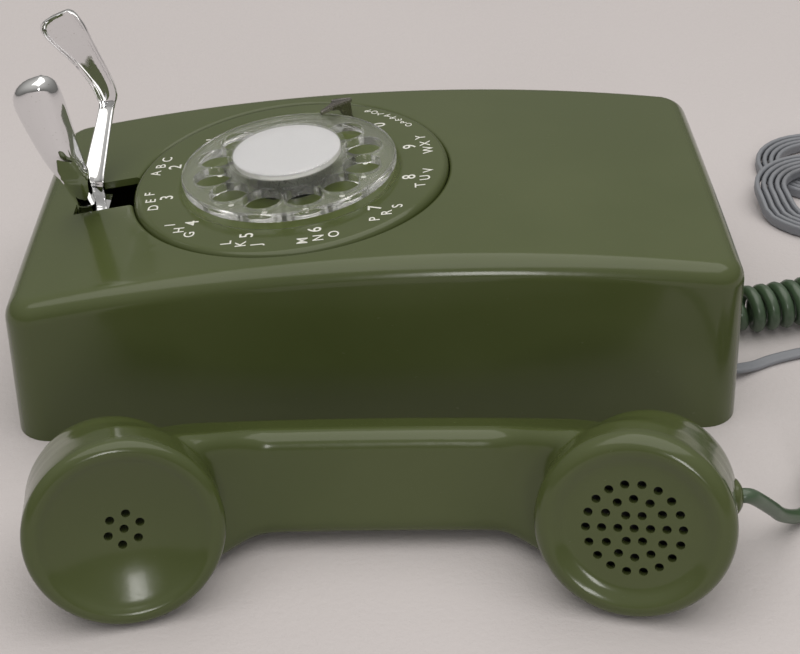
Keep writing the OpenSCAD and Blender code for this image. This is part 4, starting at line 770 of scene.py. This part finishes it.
signs = []
groups = ("", "ABC", "DEF", "GHI", "JKL", "MNO", "PRS", "TUV", "WXY", "OPERATOR")
for k, letters in enumerate(groups):
    hole_turn = FIRST_HOLE + HOLE_PACE * k
    signs.append(printed(str((k + 1) % 10), FIGURE_H, *polar(FIGURE_R, hole_turn)))
    r, height, pace, middle = LETTER_R, LETTER_H, LETTER_PACE, hole_turn
    if len(letters) > 3:
        r, height, pace, middle = WORD_R, WORD_H, WORD_PACE, hole_turn + WORD_SHIFT
    way = 1 if hole_turn > 270 else -1
    for i, letter in enumerate(letters):
        turn = middle + way * pace * (i - (len(letters) - 1) / 2)
        signs.append(printed(letter, height, *polar(r, turn)))
    x, y = polar(HOLE_RING, hole_turn)
    bpy.ops.object.select_all(action="DESELECT")
    bpy.ops.mesh.primitive_circle_add(vertices=24, radius=SPOT_R * MM, fill_type="NGON",
                                      location=(x * MM, y * MM, (FLOOR_Z + INK) * MM))
    bpy.ops.object.transform_apply(location=True)
    signs.append(bpy.context.object)
figures = joined(signs)
figures.name = "dial_figures"
figures.data.transform(in_metres(DIAL))
white_ink, shader, shade = finish("white_ink")
worn = shade.noise(700, 4, 0.6).step(0.55, 0.75)
feed(shader, Base_Color=worn.mix(rgb(0.74, 0.74, 0.69), rgb(0.55, 0.56, 0.48)),
     Roughness=0.35 + 0.15 * shade.noise(500, 2))
dress(figures, white_ink, "phone", "card")

# Finger stop
# A stamping of dull steel, screwed to the dial frame. Its web comes up through the plate behind the wheel,
# and its top is folded over and runs out into a pointed finger above the edge of the wheel.
STOP_TOP, STOP_T = 9.2, 1.3
web_foot, web_end = Vector((21.8, 39.2, 0)), Vector((15.0, 34.9, 0))
web_way = (web_end - web_foot).normalized()
web_back = Vector((web_way.y, -web_way.x, 0))
web_side = [(0.0, -5.4), (2.9, -5.4), (3.0, 1.2), (3.5, 3.8), (4.5, 5.8), (5.8, 6.9), (8.0, 7.3), (8.0, 8.6),
            (0.0, 8.6)]
stop = loft("finger_stop_strip", [[web_foot + along * web_way + back * web_back + Vector((0, 0, z))
                                   for along, z in web_side] for back in (0.0, STOP_T)])
finger = through([(x, y, 0) for x, y in (
    (22.2, 40.6), (21.4, 42.4), (18.4, 42.9), (15.4, 42.6), (14.4, 41.4), (14.9, 39.4), (13.6, 37.2),
    (11.2, 34.9), (10.6, 33.9), (10.9, 33.1), (12.0, 33.2), (15.0, 34.8), (18.6, 37.1), (21.6, 39.0))], 3)


def leaf_point(p, depth):
    """A point of the folded leaf, which droops towards its tip and its back edge."""
    droop = 1.1 * smooth((16.5 - p.x) / 7) + 0.9 * smooth((p.y - 39.5) / 4)
    return p + Vector((0, 0, STOP_TOP - depth - droop))


def weld(obj, other):
    """Makes another solid part of a piece."""
    modified(obj, "BOOLEAN", operation="UNION", solver="EXACT", object=other)
    bpy.data.objects.remove(other)


weld(stop, loft("leaf", [[leaf_point(p, depth) for p in finger] for depth in (STOP_T, 0.0)]))
modified(stop, "BEVEL", width=0.28 * MM, segments=3, limit_method="ANGLE", angle_limit=math.radians(40))
stop.data.transform(in_metres(DIAL))
rounded(stop, 40)
dull_steel = metal("dull_steel", (0.34, 0.32, 0.29), (0.22, 0.205, 0.18), 0.18, 600, (1, 5, 1))
dress(stop, dull_steel, "phone", "steel", "finger_stop")

# Finger wheel, card and cover
# A disc of clear acrylic with ten finger holes, held by a nut on the dial shaft.
# A white card lies in a cup on the nut, under a clear cover that clips over it. The cup and the nut are
# coloured pale as painted light, so that they read light under the cover.
WHEEL_R, WHEEL_LOW, WHEEL_TOP, WHEEL_EDGE, BORE_R = 38.1, 3.1, 6.5, 0.9, 3.1
HOLE_R, LIP_R, OVERCUT = 6.6, 0.35, 0.02
wheel_profile = ([(BORE_R, WHEEL_LOW), (20, WHEEL_LOW), (30, WHEEL_LOW)]
                 + arc(WHEEL_R - WHEEL_EDGE, WHEEL_LOW + WHEEL_EDGE, WHEEL_EDGE, -90, 0, 5)
                 + arc(WHEEL_R - WHEEL_EDGE, WHEEL_TOP - WHEEL_EDGE, WHEEL_EDGE, 0, 90, 5)
                 + [(30, WHEEL_TOP), (20, WHEEL_TOP), (BORE_R, WHEEL_TOP)])
wheel = turned("clear_finger_wheel", wheel_profile, DIAL, 160, closed=True)
lip_r, lip_low, lip_top = HOLE_R + LIP_R, WHEEL_LOW - OVERCUT + LIP_R, WHEEL_TOP + OVERCUT - LIP_R
hole_profile = ([(0, 2), (lip_r, 2)] + arc(lip_r, lip_low, LIP_R, 270, 180, 4)
                + arc(lip_r, lip_top, LIP_R, 180, 90, 4) + [(lip_r, 8), (0, 8)])
for k in range(10):
    hole_place = DIAL @ Matrix.Translation((*polar(HOLE_RING, FIRST_HOLE + HOLE_PACE * k), 0))
    cut(wheel, turned("finger_hole", hole_profile, hole_place, 64))
rounded(wheel)
modified(wheel, "WEIGHTED_NORMAL", weight=100, keep_sharp=True)
dress(wheel, clear, "dial_wheel", "clear_acrylic", "finger_wheel")
card_profile = [(0, 10.4), (18.6, 10.4)] + arc(18.75, 10.65, 0.25, -90, 90, 4) + [(12, 10.9), (0, 10.9)]
card_face = turned("white_card", card_profile, DIAL, 96)
rounded(card_face)
dress(card_face, card_board, "dial_wheel", "card", "number_card")
cover_profile = ([(19.3, 6.55), (20.95, 6.55), (20.95, 8.5)] + arc(19.85, 11.0, 1.1, 0, 90, 6)
                 + [(15, 12.28), (8, 12.4), (0.02, 12.45), (0.02, 11.4), (8, 11.35), (15, 11.25),
                    (18.6, 11.15), (19.3, 10.9)])
cover = turned("clear_card_cover", cover_profile, DIAL, 128, closed=True)
rounded(cover)
dress(cover, acrylic("thin_acrylic", 0.22), "dial_wheel", "clear_acrylic", "card_cover")

# Hook prongs
# Two bent strips of chromed brass, riveted to the hook lever, that flare into round paddles.
# Their sides are turned in to stiffen them. The handset hangs between them and rocks the lever on its pin.
STRIP_T, STRIP_EDGE, BULGE, PADDLE_Z, PADDLE_RISE = 2.2, 0.9, 3.0, 78.0, 12.0
paddle_edges = {
    "near": (((-104.2, 40), (-104.2, 58), (-104.0, 68), (-103.7, 77), (-106.8, 82.4), (-110.2, 89.9),
              (-113.2, 97.7), (-115.0, 103), (-115.4, 106.7), (-114.6, 109.6), (-112.2, 112.2), (-109, 114),
              (-105.6, 115)),
             ((-97.4, 40), (-97.4, 58), (-95.8, 68), (-94.2, 79), (-94.8, 83.3), (-96.1, 89.6),
              (-97.7, 98.1), (-98.8, 105), (-99.8, 109.5), (-101.2, 112.6), (-103, 114.4), (-104.8, 115))),
    "far": (((-104.2, 40), (-104.2, 56), (-103, 63), (-99.4, 76), (-99.6, 80.4), (-101.8, 87),
             (-106.1, 94.5), (-112, 101.6), (-115, 105.6), (-116, 108.6), (-115, 110.8), (-112.4, 112.6),
             (-109, 114.1), (-106, 115)),
            ((-97.0, 40), (-96.6, 56), (-95.7, 63), (-93.6, 76), (-91.8, 82.4), (-92.2, 87), (-93.8, 92.5),
             (-97, 101.5), (-99.4, 109), (-101.2, 112.6), (-103, 114.4), (-105.2, 115))),
}
side_line = through([(0, 8.0, 52.4), (0, 8.2, 56.6), (0, 10.6, 60), (0, 25.4, 74), (0, 28.7, 78.4),
                     (0, 29.1, 83.6), (0, 28.2, 102), (0, 27.6, 115.1)], 12)
across_strip = [-1, -0.97, -0.9, -0.8, -0.68, -0.5, -0.25, 0, 0.25, 0.45, 0.58, 0.68, 0.78, 0.88, 0.96, 1]


def edge_at(line, z):
    """Place along X of a paddle edge, drawn through points, at a height."""
    for p, q in zip(line, line[1:]):
        if z <= q.z:
            return p.x + (q.x - p.x) * (z - p.z) / (q.z - p.z)
    return line[-1].x


def turned_in(x, half, most, share, reach, run):
    """How far a side is turned in: the most on wide stretches, and a share of the width on narrow ones."""
    return min(most, share * half) * smooth((x - half + reach) / run) ** 1.2


for name, way in (("near", -1), ("far", 1)):
    left_edge, right_edge = (through([(x, 0, z) for x, z in edge], 6) for edge in paddle_edges[name])
    rings = []
    for i, point in enumerate(side_line):
        t = (side_line[min(i + 1, len(side_line) - 1)] - side_line[max(i - 1, 0)]).normalized()
        out = Vector((0, t.z, -t.y))
        low, high = edge_at(left_edge, point.z), edge_at(right_edge, point.z)
        middle, half = (low + high) / 2, max((high - low) / 2, 0.4)
        paddle = smooth((point.z - PADDLE_Z) / PADDLE_RISE)
        ring = []
        for face in (1, -1):
            for share in across_strip[::face]:
                x = half * share
                edge = min(1.0, (half - abs(x)) / STRIP_EDGE)
                thick = STRIP_T / 2 * math.sqrt(max(0.0, 1 - (1 - edge) ** 2))
                bulge = BULGE * paddle * min(1.0, half / 6) * (1 - share * share) if face == 1 else 0.0
                fold = turned_in(x, half, 2.2, 0.4, 3.0, 3.6) + turned_in(-x, half, 1.2, 0.3, 2.4, 3.4)
                p = point + out * (face * thick + bulge - fold)
                ring.append(Vector((middle + x, way * p.y, p.z)))
        rings.append(ring)
    prong = loft("chrome_prong_" + name, rings)
    rounded(prong, 50)
    dress(prong, chrome, "hook", "chrome", "prong_" + name)

# Handset handle
# A green moulding: two cups for the receiver and the transmitter, joined by the grip.
# The walls run into each other without a seam, and the cord bushing sits in the transmitter end.
CUP_X, CUP_TURN, CUP_SIDES = 71.9, 12.5, 144
JOIN_R, JOIN_Z, CUP_R, CUP_TAPER, CUP_DEPTH, CUP_LEAN, CUP_BACK = 28.3, 14.0, 26.3, 9.0, 48.0, 1.7, 2.2
GRIP_FRONT, GRIP_BACK, GRIP_W, GRIP_BACK_W, GRIP_R = -32.5, -53.5, 17.2, 14.9, 4.6
FLARE_X, FLARE_RUN, GRIP_TAIL, GRIP_END = 34, 24, 58, 84
EAR = HANDSET @ Matrix.Translation((-CUP_X, 0, 0)) @ Matrix.Rotation(math.radians(CUP_TURN), 4, "Y")
MOUTH = HANDSET @ Matrix.Translation((CUP_X, 0, 0)) @ Matrix.Rotation(math.radians(-CUP_TURN), 4, "Y")
DOWN = -math.copysign(1, (HANDSET.to_3x3() @ Vector((0, 1, 0))).z)


def pressed(place, r, z, lean=0.0):
    """How far the lowest point of a ring would press into the table, as a height below it."""
    return min(0.0, (place @ Vector((lean, DOWN * r, z))).z)


def cup_ring(place, r, z, lean=0.0):
    """A ring of a cup, drawn in on its underside where it would press into the table."""
    sunk = pressed(place, r, z, lean)
    ring = []
    for k in range(CUP_SIDES):
        a = 2 * math.pi * k / CUP_SIDES
        deep = r + (sunk if DOWN * math.sin(a) > 0 else 0)
        ring.append(place @ Vector((lean + r * math.cos(a), deep * math.sin(a), z)))
    return ring


def cup(name, way, place):
    """A cup with a round back that leans away from the grip and tapers out to its cap."""
    rings = []
    dome_z = -JOIN_Z - CUP_TAPER
    for a in range(87, -1, -3):
        a = math.radians(a)
        z = dome_z - (CUP_DEPTH - JOIN_Z - CUP_TAPER) * math.sin(a)
        rings.append(cup_ring(place, CUP_R * math.cos(a), z, way * (CUP_LEAN + CUP_BACK * math.sin(a))))
    for t in (0.25, 0.5, 0.75, 1.0):
        r, lean = CUP_R + (JOIN_R - CUP_R) * t, way * CUP_LEAN * (1 - smooth(t)) ** 0.9
        rings.append(cup_ring(place, r, -JOIN_Z - CUP_TAPER * (1 - t), lean))
    rings += [cup_ring(place, r, z - JOIN_Z) for r, z in ((JOIN_R, 1.2), (JOIN_R, 2.4), (JOIN_R - 1, 4))]
    return loft(name, rings)


def grip_ring(x):
    """A section of the grip: a rounded trapezoid, wider on its inner face, that flares towards the cups."""
    flare = smooth((abs(x) - FLARE_X) / FLARE_RUN)
    tail = max(0.0, (abs(x) - GRIP_TAIL) / (GRIP_END - GRIP_TAIL))
    near = min(abs(x), GRIP_TAIL)
    front = GRIP_FRONT + 0.8 * (near / 40) ** 2 + 13 * flare - 6 * tail
    back = GRIP_BACK + 1.6 * (near / 50) ** 2 + 2 * flare + 9 * tail * tail
    front_y = GRIP_W + 4.6 * flare - 4 * tail - GRIP_R
    back_y = GRIP_BACK_W + 0.8 * flare - 2 * tail - GRIP_R
    ring = []
    for cy, cz, first in ((front_y, front - GRIP_R, 0), (-front_y, front - GRIP_R, 90),
                          (-back_y, back + GRIP_R, 180), (back_y, back + GRIP_R, 270)):
        for k in range(9):
            y, z = polar(GRIP_R, first + 90 * k / 8)
            ring.append(HANDSET @ Vector((x, cy + y, cz + z)))
    return ring


handle = cup("green_handle", -1, EAR)
weld(handle, cup("mouth_cup", 1, MOUTH))
weld(handle, loft("grip", [grip_ring(x) for x in range(-GRIP_END, GRIP_END + 1, 2)]))
modified(handle, "REMESH", mode="VOXEL", voxel_size=0.85 * MM)
modified(handle, "SMOOTH", factor=0.5, iterations=30)
for place in (EAR, MOUTH):
    for r, length, z in ((22, 22, -13), (15, 24, -22)):
        cut(handle, rod(r, length, place @ Matrix.Translation((0, 0, z))))
bushing_place = HANDSET @ Matrix.Translation((BUSH_X, BUSH_Y, BUSH_Z)) @ END
cut(handle, rod(5.5, 16, bushing_place @ Matrix.Translation((0, 0, 4)), 64))
rounded(handle, 40)
dress(handle, green, "handset", "green_plastic", "handset_handle")

# Receiver and transmitter caps
# Round green caps that screw onto the cups. The receiver cap is dished towards seven holes,
# the transmitter cap is flat inside a rounded rim, with rings of holes.
CAP_R, EAR_EDGE, MOUTH_EDGE, MOUTH_EDGE_H, DISH_DEPTH, DISH_R = 29.0, 3, 4.4, 4.6, 5.7, 59.5
PIN_R, PIN_L, PIN_Z = 1.3, 14, -6
skirt = [(28.45, -13.6), (28.4, -14), (24, -14), (25.2, -9)]
dish = [(r, -DISH_DEPTH + r * r / (2 * DISH_R)) for r in (0, 1.4, 3.2, 6.8, 9, 11, 13, 15, 17, 19, 21, 22.5)]
ear_profile = (dish + [(23.3, -0.98), (24, -0.5), (24.7, -0.18), (25.3, -0.04)]
               + arc(CAP_R - EAR_EDGE, -EAR_EDGE, EAR_EDGE, 90, 0, 10)
               + [(CAP_R - 0.15, -6.5), (28.7, -9), (28.55, -11.6)] + skirt
               + [(25.5, -7), (22, -4.6), (9, -10), (0, -10)])
ear_cap = turned("green_receiver_cap", ear_profile, EAR, 128)
mouth_profile = ([(0, -2.2), (10, -2.2), (16, -2.2), (18.9, -2.18), (20.2, -1.95), (21.4, -1.4),
                  (22.5, -0.75), (23.5, -0.26), (24.2, -0.06)]
                 + arc(CAP_R - MOUTH_EDGE, -MOUTH_EDGE_H, MOUTH_EDGE, 92, 0, 10, MOUTH_EDGE_H / MOUTH_EDGE)
                 + [(CAP_R - 0.2, -7.6), (28.65, -10), (28.55, -12)] + skirt
                 + [(25.4, -8), (22, -4.4), (10, -4.4), (0, -4.4)])
mouth_cap = turned("green_transmitter_cap", mouth_profile, MOUTH, 128)
for cap, place in ((ear_cap, in_metres(EAR)), (mouth_cap, in_metres(MOUTH))):
    for v in cap.data.vertices:
        local = place.inverted() @ v.co
        r = local.xy.length
        sunk = pressed(place, r, local.z)
        if sunk < 0 and DOWN * local.y > 0:
            local.y *= 1 + sunk / r
            v.co = place @ local


def pierce(cap, place, spots):
    """Cuts the sound holes as one set of pins."""
    pins = [rod(PIN_R, PIN_L, place @ Matrix.Translation((x, y, PIN_Z)), 24) for x, y in spots]
    cut(cap, joined(pins))
    rounded(cap, 30)


def ring_of(count, r, phase):
    """Places of holes set evenly round a ring."""
    return [polar(r, 360 * k / count + phase) for k in range(count)]


pierce(ear_cap, EAR, [(0, 0)] + ring_of(6, 4.95, 21))
pierce(mouth_cap, MOUTH, [(0, 0)] + ring_of(6, 4.6, 3) + ring_of(12, 9.2, 3) + ring_of(18, 13.8, 3))
dress(ear_cap, green, "handset", "green_plastic", "receiver_cap")
dress(mouth_cap, green, "handset", "green_plastic", "transmitter_cap")

# Cord bushing of the handset
# A green sleeve with a rounded end, pressed into the transmitter end, that guides the cord.
sleeve_profile = [(2.35, -4), (5.4, -4), (5.4, 0.9), (5.1, 1.4), (4.3, 2.0), (3.5, 2.5), (2.9, 2.7),
                  (2.35, 2.7)]
sleeve = turned("cord_sleeve", sleeve_profile, bushing_place, 64, closed=True)
rounded(sleeve)
dress(sleeve, green, "handset", "green_plastic", "handset_bushing")
